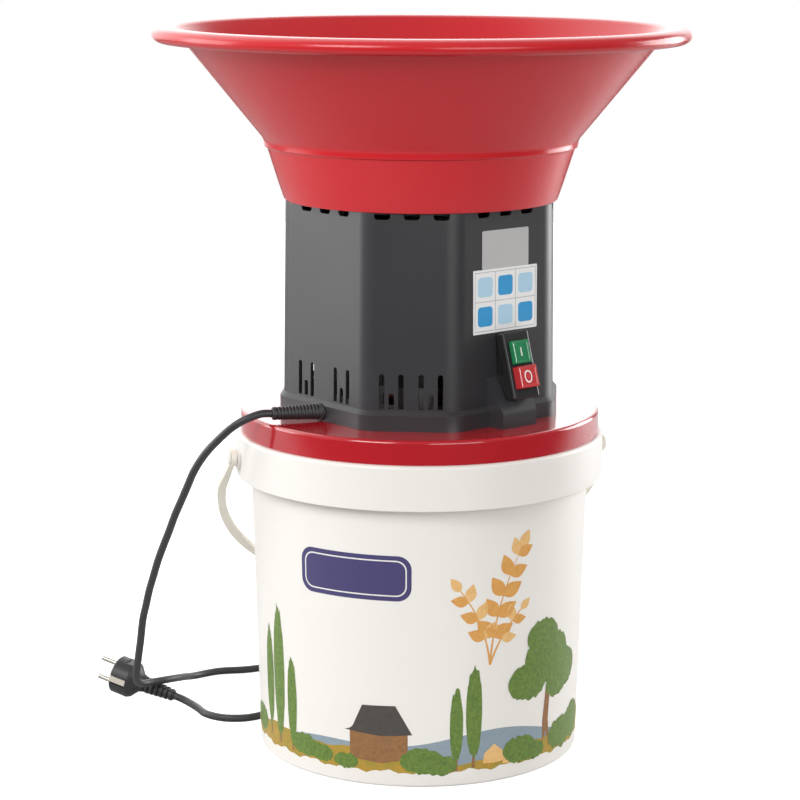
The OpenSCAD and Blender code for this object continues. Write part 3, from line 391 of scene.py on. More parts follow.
nickel = surface("nickel plating", (0.62, 0.6, 0.55), (0.5, 0.48, 0.44), (0.16, 0.3), metallic=1)
pin_r, pin_len = 2.4 * mm, 19 * mm
pin_aside = 9.5 * mm
pin_outline = [(0, -pin_len), (1.4 * mm, -pin_len), (2.1 * mm, 0.7 * mm - pin_len),
               (pin_r, 1.8 * mm - pin_len), (pin_r, 0), (0, 0)]
pins = [put(turned("plug_pins_turned", pin_outline, 24), on_plug @ shift(side * pin_aside, 0, 0))
        for side in (-1, 1)]
plug_pins = joined(*pins)
even(plug_pins, 40)
dress(plug_pins, "pail", "plated_pins", nickel, "plug_pins")

bright_clip = surface("bright clip metal", (0.8, 0.74, 0.66), (0.68, 0.62, 0.54), (0.25, 0.4), metallic=0.6)
clips = []
for side in (-1, 1):
    clip = block("plug_earth_clips_bent", (6 * mm, 1.2 * mm, plug_head - 6 * mm),
                 (0, side * (plug_r - 1.7 * mm), plug_head / 2 - 3 * mm))
    clips.append(put(soften(clip, 0.3 * mm), on_plug))
earth_clips = joined(*clips)
dress(earth_clips, "pail", "plated_pins", bright_clip, "plug_earth_clips")

# ---- Strain relief ----
# Tapered vinyl sleeve, moulded on the cord and clamped in the housing's flange by its collar; shallow
# rings along it let it flex.
relief_r0, relief_r1 = 6.9 * mm, 5.75 * mm
relief_outline = [(0, -3 * mm), (relief_r0, -3 * mm)]
ring_count = 13
for ring in range(ring_count):
    z0 = relief_len * (0.06 + 0.88 * ring / ring_count)
    pitch = relief_len * 0.88 / ring_count
    r = relief_r0 + (relief_r1 - relief_r0) * z0 / relief_len
    relief_outline += [(r, z0), (r - 0.55 * mm, z0 + 0.2 * pitch), (r - 0.55 * mm, z0 + 0.42 * pitch),
                       (r - 0.05 * mm, z0 + 0.62 * pitch)]
relief_outline += [(relief_r1, relief_len - 1.2 * mm), (relief_r1 - 0.6 * mm, relief_len - 0.2 * mm),
                   (cord_d / 2, relief_len), (0, relief_len)]
relief = put(turned("strain_relief_sleeve", relief_outline, 48),
             Matrix.Translation(relief_root_at) @ spoke(relief_turn, lean=pi / 2))
collar_outline = [(0, -9 * mm), (5.5 * mm, -9 * mm), (5.5 * mm, 0), (7.5 * mm, 0), (7.5 * mm, 1.8 * mm),
                  (6.9 * mm, 2.5 * mm), (0, 2.5 * mm)]
on_flange = spoke(relief_side, flange_face, relief_z, lean=pi / 2)
collar = put(turned("collar", collar_outline, 48), on_flange)
relief = soften(joined(relief, collar), 0.15 * mm)
dress(relief, "head", "cord_rubber", vinyl, "strain_relief")

# ---- Cord tie ----
# Black hook and loop strap, 11 mm wide, wrapped once round the coil's four strands, with its loose end
# standing off.
tie_w = 11 * mm
bundle = 2 * cord_d + 0.3 * mm
cord_tie = block("cord_tie", (bundle + 2 * tie_t, tie_w, bundle + 2 * tie_t))
soften(cord_tie, 3 * mm, 4)
tie_bore = block("tie_bore", (bundle, 2 * tie_w, bundle))
soften(tie_bore, 2.6 * mm, 4)
cut(cord_tie, tie_bore)
tie_end = block("tie_end", (12 * mm, tie_w, tie_t), (bundle / 2 + 3 * mm, 0, bundle / 2 + 0.5 * tie_t))
cord_tie = even(joined(cord_tie, tie_end))
tie_turn = radians(-18)
tie_out = 37.5 * mm
put(cord_tie, Matrix.Translation(coil_at) @ spoke(tie_turn, tie_out, bundle / 2 + tie_t + 0.05 * mm))
woven_strap = surface("black woven strap", (0.02, 0.02, 0.021), (0.04, 0.04, 0.042), (0.75, 0.9),
                      2600, 0.0002, 300)
dress(cord_tie, "pail", "cord_rubber", woven_strap)

# ---- Pail ----
# Injection moulded polypropylene, off-white and satin: a tapered wall on a foot ring, a hooped band that
# stiffens the mouth, ribs behind the band, and two bosses with stubs for the bail.
foot_r = 144 * mm
top_r = 152 * mm
shoulder_z = 289 * mm
band_r = 164 * mm
band_h = 39 * mm
wall = 2.2 * mm
lip_z = 304 * mm
foot_lift = 4 * mm


def pail_r(z):
    """Outer radius of the pail's wall at a height."""
    return foot_r + (top_r - foot_r) * z / shoulder_z


def arc(r0, z0, r, start, end, steps):
    """Outline points on a round edge, from one angle to another in degrees."""
    return [(r0 + r * cos(radians(start + (end - start) * i / steps)),
             z0 + r * sin(radians(start + (end - start) * i / steps))) for i in range(steps + 1)]


band_low = shoulder_z - band_h
pail_outline = (
    [(0, foot_lift), (foot_r - 15 * mm, foot_lift)]
    + arc(foot_r - 13.2 * mm, 1 * mm, 1 * mm, 180, 270, 4)
    + arc(pail_r(3 * mm) - 3 * mm, 3 * mm, 3 * mm, 270, 359, 8)
    + [(pail_r(z * mm), z * mm) for z in range(8, 280, 16)]
    + arc(pail_r(284 * mm) + 2.6 * mm, 284.2 * mm, 2.6 * mm, 180, 90, 5)
    + arc(band_r - wall - 1.5 * mm, 285.3 * mm, 1.5 * mm, 90, 0, 4)
    + arc(band_r - wall + 0.5 * mm, band_low + 0.5 * mm, 0.5 * mm, 180, 270, 3)
    + arc(band_r - 0.9 * mm, band_low + 0.9 * mm, 0.9 * mm, 270, 360, 4)
    + arc(band_r - 3 * mm, shoulder_z - 3 * mm, 3 * mm, 0, 90, 8)
    + arc(top_r + 1.2 * mm, shoulder_z + 1.2 * mm, 1.2 * mm, 270, 180, 4)
    + arc(top_r - 1.1 * mm, lip_z - 1.1 * mm, 1.1 * mm, 0, 180, 8)
    + [(pail_r(z * mm) - wall, z * mm) for z in range(280, 20, -20)]
    + arc(pail_r(0) - wall - 5 * mm, foot_lift + wall + 5 * mm, 5 * mm, 0, -90, 6)
    + [(0, foot_lift + wall)])
pail = even(turned("pail_moulded", pail_outline, 160))

ear_turn = radians(16)
ear_z = shoulder_z - 21 * mm
boss_out = 2.3 * mm
strap_t = 5 * mm
ear_outline = (
    [(0, -wall), (11 * mm, -wall)] + arc(10.2 * mm, boss_out - 0.8 * mm, 0.8 * mm, 0, 90, 3)
    + [(4.5 * mm, boss_out), (4.5 * mm, boss_out + strap_t + 0.6 * mm)]
    + [(6.2 * mm, boss_out + strap_t + 0.6 * mm), (6 * mm, boss_out + strap_t + 1.2 * mm)]
    + [(5.2 * mm, boss_out + strap_t + 2.6 * mm), (0, boss_out + strap_t + 2.6 * mm)])
ears = []
for turn in (ear_turn, ear_turn + pi):
    ears.append(put(turned("pail_ears", ear_outline, 48), spoke(turn, band_r, ear_z, lean=pi / 2)))
pail_ears = soften(joined(*ears), 0.25 * mm)

rib_count = 16
rib_h = band_h - 7 * mm
rib_in, rib_out = pail_r(band_low) - wall / 2, band_r - wall / 2
ribs = []
for i in range(rib_count):
    rib = block("pail_ribs", (rib_out - rib_in, 2 * mm, rib_h),
                ((rib_out + rib_in) / 2, 0, shoulder_z - 1 * mm - rib_h / 2))
    ribs.append(put(rib, spoke(ear_turn + 2 * pi * i / rib_count)))
pail_ribs = soften(joined(*ribs), 0.3 * mm)

pail_plastic = surface("pail plastic", (0.86, 0.83, 0.785), (0.83, 0.80, 0.755), (0.32, 0.4), 500, 0.00003, 6)
dress(pail, "pail", "pail", pail_plastic, "pail", "pail_band")
dress(pail_ears, "pail", "pail", pail_plastic)
dress(pail_ribs, "pail", "pail", pail_plastic)

# ---- Print on the pail ----
# Screen printed picture on the wall: a plain badge, a gold twig, and a meadow with bushes, trees, a barn
# and stacks of straw along the foot. Each ink is a thin skin on the wall. Places and sizes are in
# millimetres, round the wall from its front and up from the floor.
front = radians(-86.4)
print_r = 148
longest_step = 6
tallest_row = 7
random.seed(7)


def printed(name, low, high, lift):
    """A skin on the wall between two rows of points, each (mm round the wall from the front, mm high)."""
    low, high = list(low), list(high)
    for i in range(len(low) - 1, 0, -1):
        gaps = [hypot(row[i][0] - row[i - 1][0], row[i][1] - row[i - 1][1]) for row in (low, high)]
        parts = ceil(max(gaps) / longest_step)
        for row in (low, high):
            (u0, z0), (u1, z1) = row[i - 1], row[i]
            row[i:i] = [(u0 + (u1 - u0) * k / parts, z0 + (z1 - z0) * k / parts) for k in range(1, parts)]
    across = max(hypot(b[0] - a[0], b[1] - a[1]) for a, b in zip(low, high))
    rows = max(1, min(12, int(across / tallest_row)))
    bpy.ops.object.select_all(action="DESELECT")
    bpy.ops.mesh.primitive_grid_add(x_subdivisions=len(low) - 1, y_subdivisions=rows, size=2)
    piece = opened(name)
    mesh = bmesh.from_edit_mesh(piece.data)
    for v in mesh.verts:
        a, b = (row[round((v.co.x + 1) / 2 * (len(low) - 1))] for row in (low, high))
        t = (v.co.y + 1) / 2
        u, z = (a[i] + (b[i] - a[i]) * t for i in (0, 1))
        r = pail_r(z * mm) + lift * mm
        angle = front + u / print_r
        v.co = (r * cos(angle), r * sin(angle), z * mm)
    bmesh.update_edit_mesh(piece.data)
    bpy.ops.object.mode_set(mode="OBJECT")
    return piece


def blot(name, u, z, w, h, lift, rough, steps):
    """A round shape w wide and h high whose edge wobbles by a share of its height."""
    low, high = [], []
    for i in range(steps + 1):
        a = pi * i / steps
        wobble = [1 + rough * (random.random() - 0.5) for _ in range(3)]
        low.append((u - w / 2 * cos(a), z - h / 2 * sin(a) * wobble[0]))
        high.append((u - w / 2 * cos(a), z + h / 2 * sin(a) * wobble[1]))
    return printed(name, low, high, lift)


def plate(name, u, z, w, h, corner, lift):
    """A rectangle with round corners."""
    low, high = [], []
    steps = 30
    for i in range(steps + 1):
        x = -w / 2 + w * (0.5 - 0.5 * cos(pi * i / steps))
        inset = corner - min(corner, w / 2 - abs(x))
        drop = corner - (corner ** 2 - inset ** 2) ** 0.5
        low.append((u + x, z - h / 2 + drop))
        high.append((u + x, z + h / 2 - drop))
    return printed(name, low, high, lift)


def ribbon(name, points, widths, lift):
    """A band along points, with its width at each."""
    low, high = [], []
    for i, ((u, z), w) in enumerate(zip(points, widths)):
        (u0, z0), (u1, z1) = points[max(i - 1, 0)], points[min(i + 1, len(points) - 1)]
        run = hypot(u1 - u0, z1 - z0)
        side = ((z1 - z0) / run * w / 2, -(u1 - u0) / run * w / 2)
        low.append((u + side[0], z + side[1]))
        high.append((u - side[0], z - side[1]))
    return printed(name, low, high, lift)


def leaf(name, u, z, turn, length, w, lift):
    """A pointed leaf that grows from one point in a direction in degrees."""
    steps = 8
    points = [(u + length * t / steps * cos(radians(turn)), z + length * t / steps * sin(radians(turn)))
              for t in range(steps + 1)]
    widths = [max(0.2, w * sin(pi * (t / steps) ** 0.8)) for t in range(steps + 1)]
    return ribbon(name, points, widths, lift)


def ink(name, colour, shade, cloud):
    """A printing ink, satin, mottled as the picture is."""
    return surface(name, colour, shade, (0.36, 0.42), 500, 0.00001, cloud)


violet_ink = ink("violet ink", (0.060, 0.052, 0.160), (0.054, 0.046, 0.148), 30)
paper_ink = ink("white ink", (0.84, 0.82, 0.79), (0.80, 0.78, 0.75), 30)
gold_ink = ink("gold ink", (0.80, 0.42, 0.12), (0.62, 0.28, 0.05), 260)
straw_ink = ink("straw ink", (0.86, 0.58, 0.26), (0.74, 0.40, 0.12), 260)
meadow_ink = ink("meadow ink", (0.62, 0.30, 0.04), (0.20, 0.24, 0.03), 120)
bush_ink = ink("bush ink", (0.22, 0.33, 0.05), (0.03, 0.09, 0.02), 330)
far_ink = ink("far trees ink", (0.30, 0.36, 0.42), (0.22, 0.30, 0.34), 160)
wood_ink = ink("barn wood ink", (0.40, 0.19, 0.06), (0.16, 0.08, 0.04), 300)
roof_ink = ink("barn roof ink", (0.085, 0.072, 0.062), (0.05, 0.045, 0.042), 240)

# The badge: a violet field, a thin white line round it and a violet border, all drawn about one middle.
badge_u, badge_z = -58, 188
for name, w, h, corner, lift, colour in (("print_badge", 104, 40, 12, 0.10, violet_ink),
                                         ("print_badge_line", 96, 32, 9, 0.16, paper_ink),
                                         ("print_badge_field", 93.6, 29.6, 8, 0.22, violet_ink)):
    dress(plate(name, badge_u, badge_z, w, h, corner, lift), "pail", "pail", colour)

# The twig: three stems from one foot, each with pairs of broad leaves in two golds and a leaf at its tip.
twig_foot = (64, 108)
node_gap = 6.2
stems = []
twig_leaves = {"gold": [], "straw": []}
for heading, bend, count, size in ((86, -1.5, 17, 18), (98, 2.6, 12, 15), (70, -3.4, 9, 13)):
    stem = [twig_foot]
    for i in range(count):
        turn = heading + bend * i
        u, z = stem[-1]
        stem.append((u + node_gap * cos(radians(turn)), z + node_gap * sin(radians(turn))))
        if i > 2 and i % 3 == 0:
            for side in (-1, 1):
                tone = "gold" if random.random() < 0.6 else "straw"
                length = 1.25 * size * (1 - 0.3 * i / count) + 3 * random.random()
                away = turn + side * (52 - i + 8 * random.random())
                blade = leaf("print_sprig_" + tone, *stem[-1], away, length, 0.62 * length, 0.16)
                twig_leaves[tone].append(blade)
    twig_leaves["straw"].append(leaf("print_sprig_straw", *stem[-1], turn, size, 0.6 * size, 0.16))
    stems.append(ribbon("print_sprig_stems", stem, [1.9 - 0.08 * t for t in range(count + 1)], 0.12))
for group, colour in ((stems, gold_ink), (twig_leaves["gold"], gold_ink), (twig_leaves["straw"], straw_ink)):
    dress(joined(*group), "pail", "pail", colour)

# The meadow and the hills behind it run once round the wall, so their waves count whole turns.
ground_steps = 220
round_wall = 2 * pi * print_r
ground, hills = [], []
for i in range(ground_steps + 1):
    u = round_wall * (i / ground_steps - 0.5)
    a = 2 * pi * i / ground_steps
    ground.append((u, 29 + 6 * sin(3 * a + 0.6) + 3 * sin(7 * a) + 0.8 * sin(31 * a)))
    hills.append((u, 36 + 9 * sin(2 * a + 1) + 5 * sin(5 * a + 2)))
foot_line = [(u, 14 + 1.4 * sin(u / 6) + 0.9 * sin(u / 2.3)) for u, _ in ground]
dress(printed("print_hills", foot_line, hills, 0.06), "pail", "pail", far_ink)
dress(printed("print_meadow", foot_line, ground, 0.10), "pail", "pail", meadow_ink)

# The barn: its wall and the roof over it, each from its lower to its upper edge.
barn_u, barn_z = -36, 24
barn_wall = ([(-26, 0), (4, -3), (27, 2)], [(-26, 27), (4, 25), (27, 27)])
barn_roof = ([(-31, 25), (3, 22), (31, 24)], [(-24, 27), (-14, 49), (16, 50)])
for name, edges, lift, colour in (("print_barn", barn_wall, 0.14, wood_ink),
                                  ("print_barn_roof", barn_roof, 0.18, roof_ink)):
    low, high = ([(barn_u + u, barn_z + z) for u, z in edge] for edge in edges)
    dress(printed(name, low, high, lift), "pail", "pail", colour)

# Five poplars, and an oak whose crown is five blots.
crowns, trunks = [], []
for u, z, w, h in ((-166, 30, 15, 92), (-148, 26, 18, 118), (-128, 24, 13, 78), (34, 22, 12, 66),
                   (50, 24, 15, 84)):
    trunks.append(ribbon("print_trunks", [(u, z - 8), (u + 0.5, z + 10)], [3, 2], 0.13))
    crowns.append(blot("print_poplars", u, z + h / 2, w, h, 0.17, 0.18, 22))
oak_u, oak_z = 132, 26
oak_trunk = [(oak_u, oak_z - 6), (oak_u - 2, oak_z + 20), (oak_u + 1, oak_z + 55)]
trunks.append(ribbon("print_trunks", oak_trunk, [11, 8, 6], 0.13))
for du, dz, w, h in ((0, 78, 62, 48), (-26, 60, 46, 34), (27, 62, 44, 36), (-8, 98, 42, 32),
                     (14, 50, 34, 24)):
    crowns.append(blot("print_poplars", oak_u + du, oak_z + dz, w, h, 0.15 + 0.02 * len(crowns), 0.22, 22))
dress(joined(*crowns), "pail", "pail", bush_ink)
dress(joined(*trunks), "pail", "pail", wood_ink)

bush_up = 6
bushes = []
for u, z, w, h in ((-196, 24, 40, 24), (-112, 20, 34, 20), (-92, 17, 26, 16), (4, 18, 40, 24),
                   (20, 14, 30, 18), (-66, 14, 24, 14), (98, 20, 38, 24), (158, 22, 44, 30),
                   (186, 26, 40, 34), (116, 15, 26, 16), (250, 20, 44, 26), (330, 22, 38, 24),
                   (420, 20, 46, 28), (-280, 20, 40, 24), (-370, 22, 44, 26)):
    bushes.append(blot("print_bushes", u, z + bush_up, w, h, 0.26, 0.3, 20))
dress(joined(*bushes), "pail", "pail", bush_ink)
stacks = [printed("print_stacks", [(u - w, z), (u, z - 1), (u + w, z)],
                  [(u - 0.86 * w, z + 0.8 * w), (u, z + 1.5 * w), (u + 0.86 * w, z + 0.8 * w)], 0.2)
          for u, z, w in ((70, 19, 11), (88, 16, 9), (-212, 20, 10))]
dress(joined(*stacks), "pail", "pail", straw_ink)

# ---- Bail ----
# Moulded cream strap: two eyes snap over the pail's stubs, and the bow hangs behind the pail and leans on
# its wall.


def bench_copy(name, node, body, slot, material, edge=0.3 * mm):
    """A copy of a construction node with its triangles welded, its flats cleaned and its edges rounded by the
    given width, or only smoothed where that width is nothing, dressed to stand for that node."""
    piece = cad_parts[node].copy()
    piece.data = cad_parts[node].data.copy()
    piece.name = name
    piece.parent = None
    for key in list(piece.keys()):
        if key.startswith("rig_"):
            del piece[key]
    bpy.context.scene.collection.objects.link(piece)
    only(piece)
    bpy.ops.object.mode_set(mode="EDIT")
    bpy.ops.mesh.select_all(action="SELECT")
    bpy.ops.mesh.remove_doubles(threshold=0.005 * mm)
    bpy.ops.mesh.dissolve_limited(angle_limit=radians(0.5))
    bpy.ops.object.mode_set(mode="OBJECT")
    if edge:
        soften(piece, edge)
    else:
        even(piece)
    return dress(piece, body, slot, material, node)


cream = surface("cream strap plastic", (0.87, 0.84, 0.75), (0.84, 0.80, 0.70), (0.28, 0.36), 600, 0.00003)
bench_copy("bail_strap", "bail", "bail", "bail", cream, 1.0 * mm)

# ---- Lid plate ----
# Pressed steel plate with a deep turned-down skirt, enamelled deep red and glossy. It carries the motor
# and rests on the pail's shoulder.
plate_r = 160 * mm
sheet = 1.5 * mm
shaft_hole_r = 13 * mm
plate_outline = ([(shaft_hole_r, plate_top - sheet), (shaft_hole_r, plate_top)]
                 + [(r * mm, plate_top) for r in (40, 80, 120)]
                 + arc(plate_r - 3 * mm, plate_top - 3 * mm, 3 * mm, 90, 0, 8)
                 + [(plate_r, shoulder_z + 0.5 * mm), (plate_r - 0.5 * mm, shoulder_z),
                    (plate_r - sheet, shoulder_z)]
                 + arc(plate_r - 3 * mm, plate_top - 3 * mm, 1.5 * mm, 0, 90, 5)
                 + [(shaft_hole_r, plate_top - sheet)])
lid = turned("lid_plate_enamelled", plate_outline, 160)
port_half, port_near, port_len = 22 * mm, 64 * mm, 30 * mm
housing_ring, motor_ring = 110 * mm, 46 * mm
screw_hole_r, motor_hole_r = 2.6 * mm, 3.1 * mm


def drill(r, half):
    """An upright round cutter, as deep below its place as above it."""
    return turned("hole", [(0, -half), (r, -half), (r, half), (0, half)], 24)


openings = [block("port", (2 * port_half, port_len, 10 * mm), (0, port_near + port_len / 2, plate_top))]
for q in range(4):
    for ring_r, hole_r, turn in ((housing_ring, screw_hole_r, 0), (motor_ring, motor_hole_r, pi / 4)):
        openings.append(put(drill(hole_r, 5 * mm), spoke(q * pi / 2 + turn, ring_r, plate_top)))
cut(lid, *openings)
even(lid)
enamel = surface("deep red enamel", (0.47, 0.012, 0.02), (0.44, 0.010, 0.017), (0.12, 0.17), 120, 0.00002, 9,
                 coat=0.6, coat_rough=0.06)
dress(lid, "head", "red_paint", enamel, "lid_plate")

# ---- Housing ----
# Moulded dark grey ABS shell, an octagon with soft corners, screwed to the lid plate from below. Slots near
# its base and windows under the hopper let the motor breathe; the console carries the switch.
deck_top = 496 * mm
shell_t = 2.5 * mm
main_low, main_high = 118.9 * mm, 116.7 * mm
diag_low, diag_high = 111.4 * mm, 109.2 * mm
corner_r = 25 * mm
flange_out, flange_h, flange_slope = 3.2 * mm, 13.7 * mm, 3.7 * mm
console_z = plate_top + 20 * mm
console_n = 127.9 * mm
console_tilt = radians(16.5)
console_half = 19.5 * mm
console_turn = radians(-45)
on_console = spoke(console_turn, console_n, console_z, lean=-console_tilt)


def octagon_ring(main, diagonal, round_r):
    """Round-cornered octagon whose faces lie in turn at two distances, as (x, y) points."""
    points = []
    for k in range(8):
        near, far = (main, diagonal) if k % 2 == 0 else (diagonal, main)
        turn = k * pi / 4
        reach = near - round_r
        aside = ((far - round_r) - reach * cos(pi / 4)) / sin(pi / 4)
        x = reach * cos(turn) - aside * sin(turn)
        y = reach * sin(turn) + aside * cos(turn)
        points += [(x + round_r * cos(turn + j * pi / 32), y + round_r * sin(turn + j * pi / 32))
                   for j in range(9)]
    return points


def octagon(name, rings, round_r):
    """A solid octagon drawn up through rings. A ring is its faces' two distances and its height."""
    bpy.ops.object.select_all(action="DESELECT")
    bpy.ops.mesh.primitive_circle_add(vertices=72, radius=rings[0][0], fill_type="NGON")
    piece = opened(name)
    bpy.ops.mesh.select_mode(type="FACE")
    bpy.ops.mesh.select_all(action="SELECT")
    for i, (main, diagonal, z) in enumerate(rings):
        if i:
            bpy.ops.mesh.extrude_region_move()
        mesh = bmesh.from_edit_mesh(piece.data)
        top = sorted((v for v in mesh.verts if v.select), key=lambda v: atan2(v.co.y, v.co.x) % (2 * pi))
        for v, (x, y) in zip(top, octagon_ring(main, diagonal, round_r)):
            v.co = (x, y, z)
        bmesh.update_edit_mesh(piece.data)
    return closed(piece)


console_h = 92 * mm
console_foot = 2.5 * mm
console_splay = 3.4 / 33.2


def console_wedge(name, wall_in, half, low):
    """The console's wedge, smaller by a wall all round: a box with its front and its sides cut slantwise."""
    piece = block(name, (34 * mm, 60 * mm, console_h - low), (114 * mm, 0, plate_top + (console_h + low) / 2))
    front = console_n + console_foot
    lean = (cos(console_tilt), 0, sin(console_tilt))
    cuts = [((front - wall_in, 0, 0), (1, 0, 0)),
            ((front - wall_in, 0, plate_top + flange_h - wall_in), (flange_slope, 0, console_foot)),
            ((console_n - wall_in / cos(console_tilt), 0, console_z), lean)]
    cuts += [((front, side * half, 0), (console_splay, side, 0)) for side in (-1, 1)]
    only(piece)
    bpy.ops.object.mode_set(mode="EDIT")
    for place, away in cuts:
        bpy.ops.mesh.select_all(action="SELECT")
        bpy.ops.mesh.bisect(plane_co=place, plane_no=Vector(away).normalized(), use_fill=True,
                            clear_outer=True)
    return put(closed(piece), spoke(console_turn))


def round_corners(piece, offset, segments, ends=("upper", "lower")):
    """Rounds the corners of a block's large face, at its upper end, its lower end or both."""
    only(piece)
    bpy.ops.object.mode_set(mode="EDIT")
    bpy.ops.mesh.select_all(action="DESELECT")
    bpy.ops.mesh.select_mode(type="EDGE")
    mesh = bmesh.from_edit_mesh(piece.data)
    middle = sum(v.co.z for v in mesh.verts) / len(mesh.verts)
    for edge in mesh.edges:
        a, b = (v.co for v in edge.verts)
        edge.select = abs(a.x - b.x) > 0.01 * mm and ("upper" if a.z > middle else "lower") in ends
    bmesh.update_edit_mesh(piece.data)
    bpy.ops.mesh.bevel(offset=offset, segments=segments)
    bpy.ops.object.mode_set(mode="OBJECT")
    return piece


flange_main, flange_diag = main_low + flange_out, diag_low + flange_out
flange_top = plate_top + flange_h
housing = cut(
    octagon("housing_shell", [(main_low, diag_low, plate_top + 1 * mm), (main_high, diag_high, deck_top)],
            corner_r),
    octagon("flange", [(flange_main, flange_diag, plate_top), (flange_main, flange_diag, flange_top),
                       (main_low - 0.05 * mm, diag_low - 0.05 * mm, flange_top + flange_slope)], corner_r),
    console_wedge("console", 0, console_half, 0), operation="UNION")
hollow = octagon("hollow", [(main_low - shell_t, diag_low - shell_t, plate_top - 1 * mm),
                            (main_high - shell_t, diag_high - shell_t, deck_top - shell_t)],
                 corner_r - shell_t)
cut(housing, hollow, console_wedge("console_hollow", shell_t, console_half - shell_t, -2 * mm))
slot_w, slot_pitch, slot_low, slot_long, slot_short = 4.6 * mm, 8.2 * mm, 18.8 * mm, 30 * mm, 13.3 * mm
main_slots_at, diag_slots_at = 16.8 * mm, 24 * mm
window_w, window_pitch, window_h, window_r = 13.6 * mm, 25 * mm, 5.8 * mm, 2.9 * mm
console_side = 7
openings = []
for q in range(8):
    turn = q * pi / 4
    reach_low, reach_high, slots_at = (
        (main_low, main_high, main_slots_at) if q % 2 == 0 else (diag_low, diag_high, diag_slots_at))
    for i in (-1, 0, 1):
        window = block("window", (14 * mm, window_w, window_h + 4 * mm), (0, 0, (window_h + 4 * mm) / 2))
        round_corners(window, 0.99 * window_r, 6, ("lower",))
        openings.append(put(window, spoke(turn, reach_high, deck_top - window_h, i * window_pitch)))
        if q == console_side:
            continue
        slot_h = slot_short if i == 0 else slot_long
        for side in (-1, 1):
            slot = block("slot", (16 * mm, slot_w, slot_h), (0, 0, slot_h / 2))
            round_corners(slot, 0.99 * slot_w / 2, 6, ("upper",))
            openings.append(put(slot, spoke(turn, reach_low, plate_top + slot_low,
                                            side * slots_at + i * slot_pitch)))
relief_hole = turned("relief_hole", [(0, -12 * mm), (5.55 * mm, -12 * mm), (5.55 * mm, 6 * mm), (0, 6 * mm),
                                     (0, -12 * mm)], 32)
openings.append(put(relief_hole, on_flange))
switch_side = 3 * mm
switch_mid = 32.2 * mm
openings.append(block("duct_hole", (48.6 * mm, 34.6 * mm, 12 * mm), (0, port_near + port_len / 2, deck_top)))
openings.append(put(block("switch_hole", (12 * mm, 25 * mm, 50.5 * mm), (-3 * mm, switch_side, switch_mid)),
                    on_console))
cut(housing, joined(*openings))
soften(housing, 0.35 * mm, 2, 30)
hopper_ring = 95 * mm
boss_bore, boss_r = 2.5 * mm, 5.5 * mm
bosses = []
for q in range(4):
    for ring_r, lift, high, turn in ((housing_ring, plate_top, 16 * mm, 0),
                                     (hopper_ring, deck_top - 16.5 * mm, 14.1 * mm, pi / 4)):
        boss = turned("housing_bosses", [(boss_bore, lift), (boss_r, lift), (boss_r, lift + high),
                                         (boss_bore, lift + high), (boss_bore, lift)], 24)
        bosses.append(put(boss, spoke(q * pi / 2 + turn, ring_r)))
housing_bosses = even(joined(*bosses))
shell_grey = surface("satin dark shell", (0.028, 0.028, 0.031), (0.034, 0.034, 0.037), (0.36, 0.44),
                     1400, 0.00003, 7)
dress(housing, "head", "housing", shell_grey, "housing")
dress(housing_bosses, "head", "housing", shell_grey)

# ---- Hopper ----
# Moulded glossy red funnel: a flat floor on the deck, a steep collar, a small step, a wide cone and a
# rolled rim that stiffens it.
hopper_h = 150.4 * mm
rim_top = deck_top + hopper_h
skin = 3 * mm
rim_r = 234.8 * mm
roll = 7 * mm
roll_w = 1.4 * roll
mouth_r = 212 * mm
collar_h = 47 * mm
collar_top = deck_top + collar_h
cone_low = deck_top + 53 * mm
cone_top = rim_top - 8.75 * mm


def oval(r0, z0, rx, rz, start, end, steps):
    """Outline points on an oval edge, from one angle to another in degrees."""
    return [(r0 + rx * cos(radians(start + (end - start) * i / steps)),
             z0 + rz * sin(radians(start + (end - start) * i / steps))) for i in range(steps + 1)]


hopper_outline = (
    [(0, deck_top), (119.9 * mm, deck_top), (120.9 * mm, deck_top + 1 * mm)]
    + [((120.9 + 15.1 * t) * mm, deck_top + collar_h * t) for t in (0.3, 0.6, 0.95)]
    + [(135.9 * mm, collar_top - 1.2 * mm), (136.5 * mm, collar_top - 0.6 * mm),
       (137.5 * mm, collar_top - 0.3 * mm), (138.0 * mm, collar_top + 0.2 * mm),
       (138.15 * mm, collar_top + 1 * mm), (138.4 * mm, cone_low - 1.8 * mm),
       (138.8 * mm, cone_low - 0.6 * mm)]
    + [((138.5 + 72.5 * t) * mm, cone_low + (cone_top - cone_low) * t) for t in (0.02, 0.25, 0.5, 0.75, 0.96)]
    + arc(mouth_r + 2.5 * mm, rim_top - 9 * mm, 4.6 * mm, 155, 95, 4)
    + oval(rim_r - roll_w, rim_top - roll, roll_w - 2.2 * mm, roll - 2.2 * mm, 90, -40, 8)
    + oval(rim_r - roll_w, rim_top - roll, roll_w, roll, -60, 90, 16)
    + [(mouth_r + 6 * mm, rim_top - 0.1 * mm), (mouth_r + 3 * mm, rim_top - 0.8 * mm),
       (mouth_r + 0.6 * mm, rim_top - 2.6 * mm)]
    + [((136 + 74 * t) * mm, cone_low + 3 * mm + (cone_top - cone_low) * t)
       for t in (0.95, 0.75, 0.5, 0.25, 0.03)]
    + [(134.6 * mm, cone_low), (133 * mm, collar_top), (117.6 * mm, deck_top + skin + 4 * mm)]
    + [(114 * mm, deck_top + skin), (0, deck_top + skin)])
hopper = turned("hopper_moulded", hopper_outline, 192)
openings = [block("port", (2 * port_half, port_len, 12 * mm), (0, port_near + port_len / 2, deck_top))]
for q in range(4):
    openings.append(put(drill(screw_hole_r, 9 * mm), spoke(q * pi / 2 + pi / 4, hopper_ring, deck_top)))
cut(hopper, *openings)
even(hopper)
hopper_red = surface("glossy red plastic", (0.62, 0.020, 0.027), (0.58, 0.017, 0.023), (0.2, 0.26),
                     160, 0.00002, 5, coat=0.1, coat_rough=0.1, specular=0.4)
dress(hopper, "head", "hopper", hopper_red, "hopper")

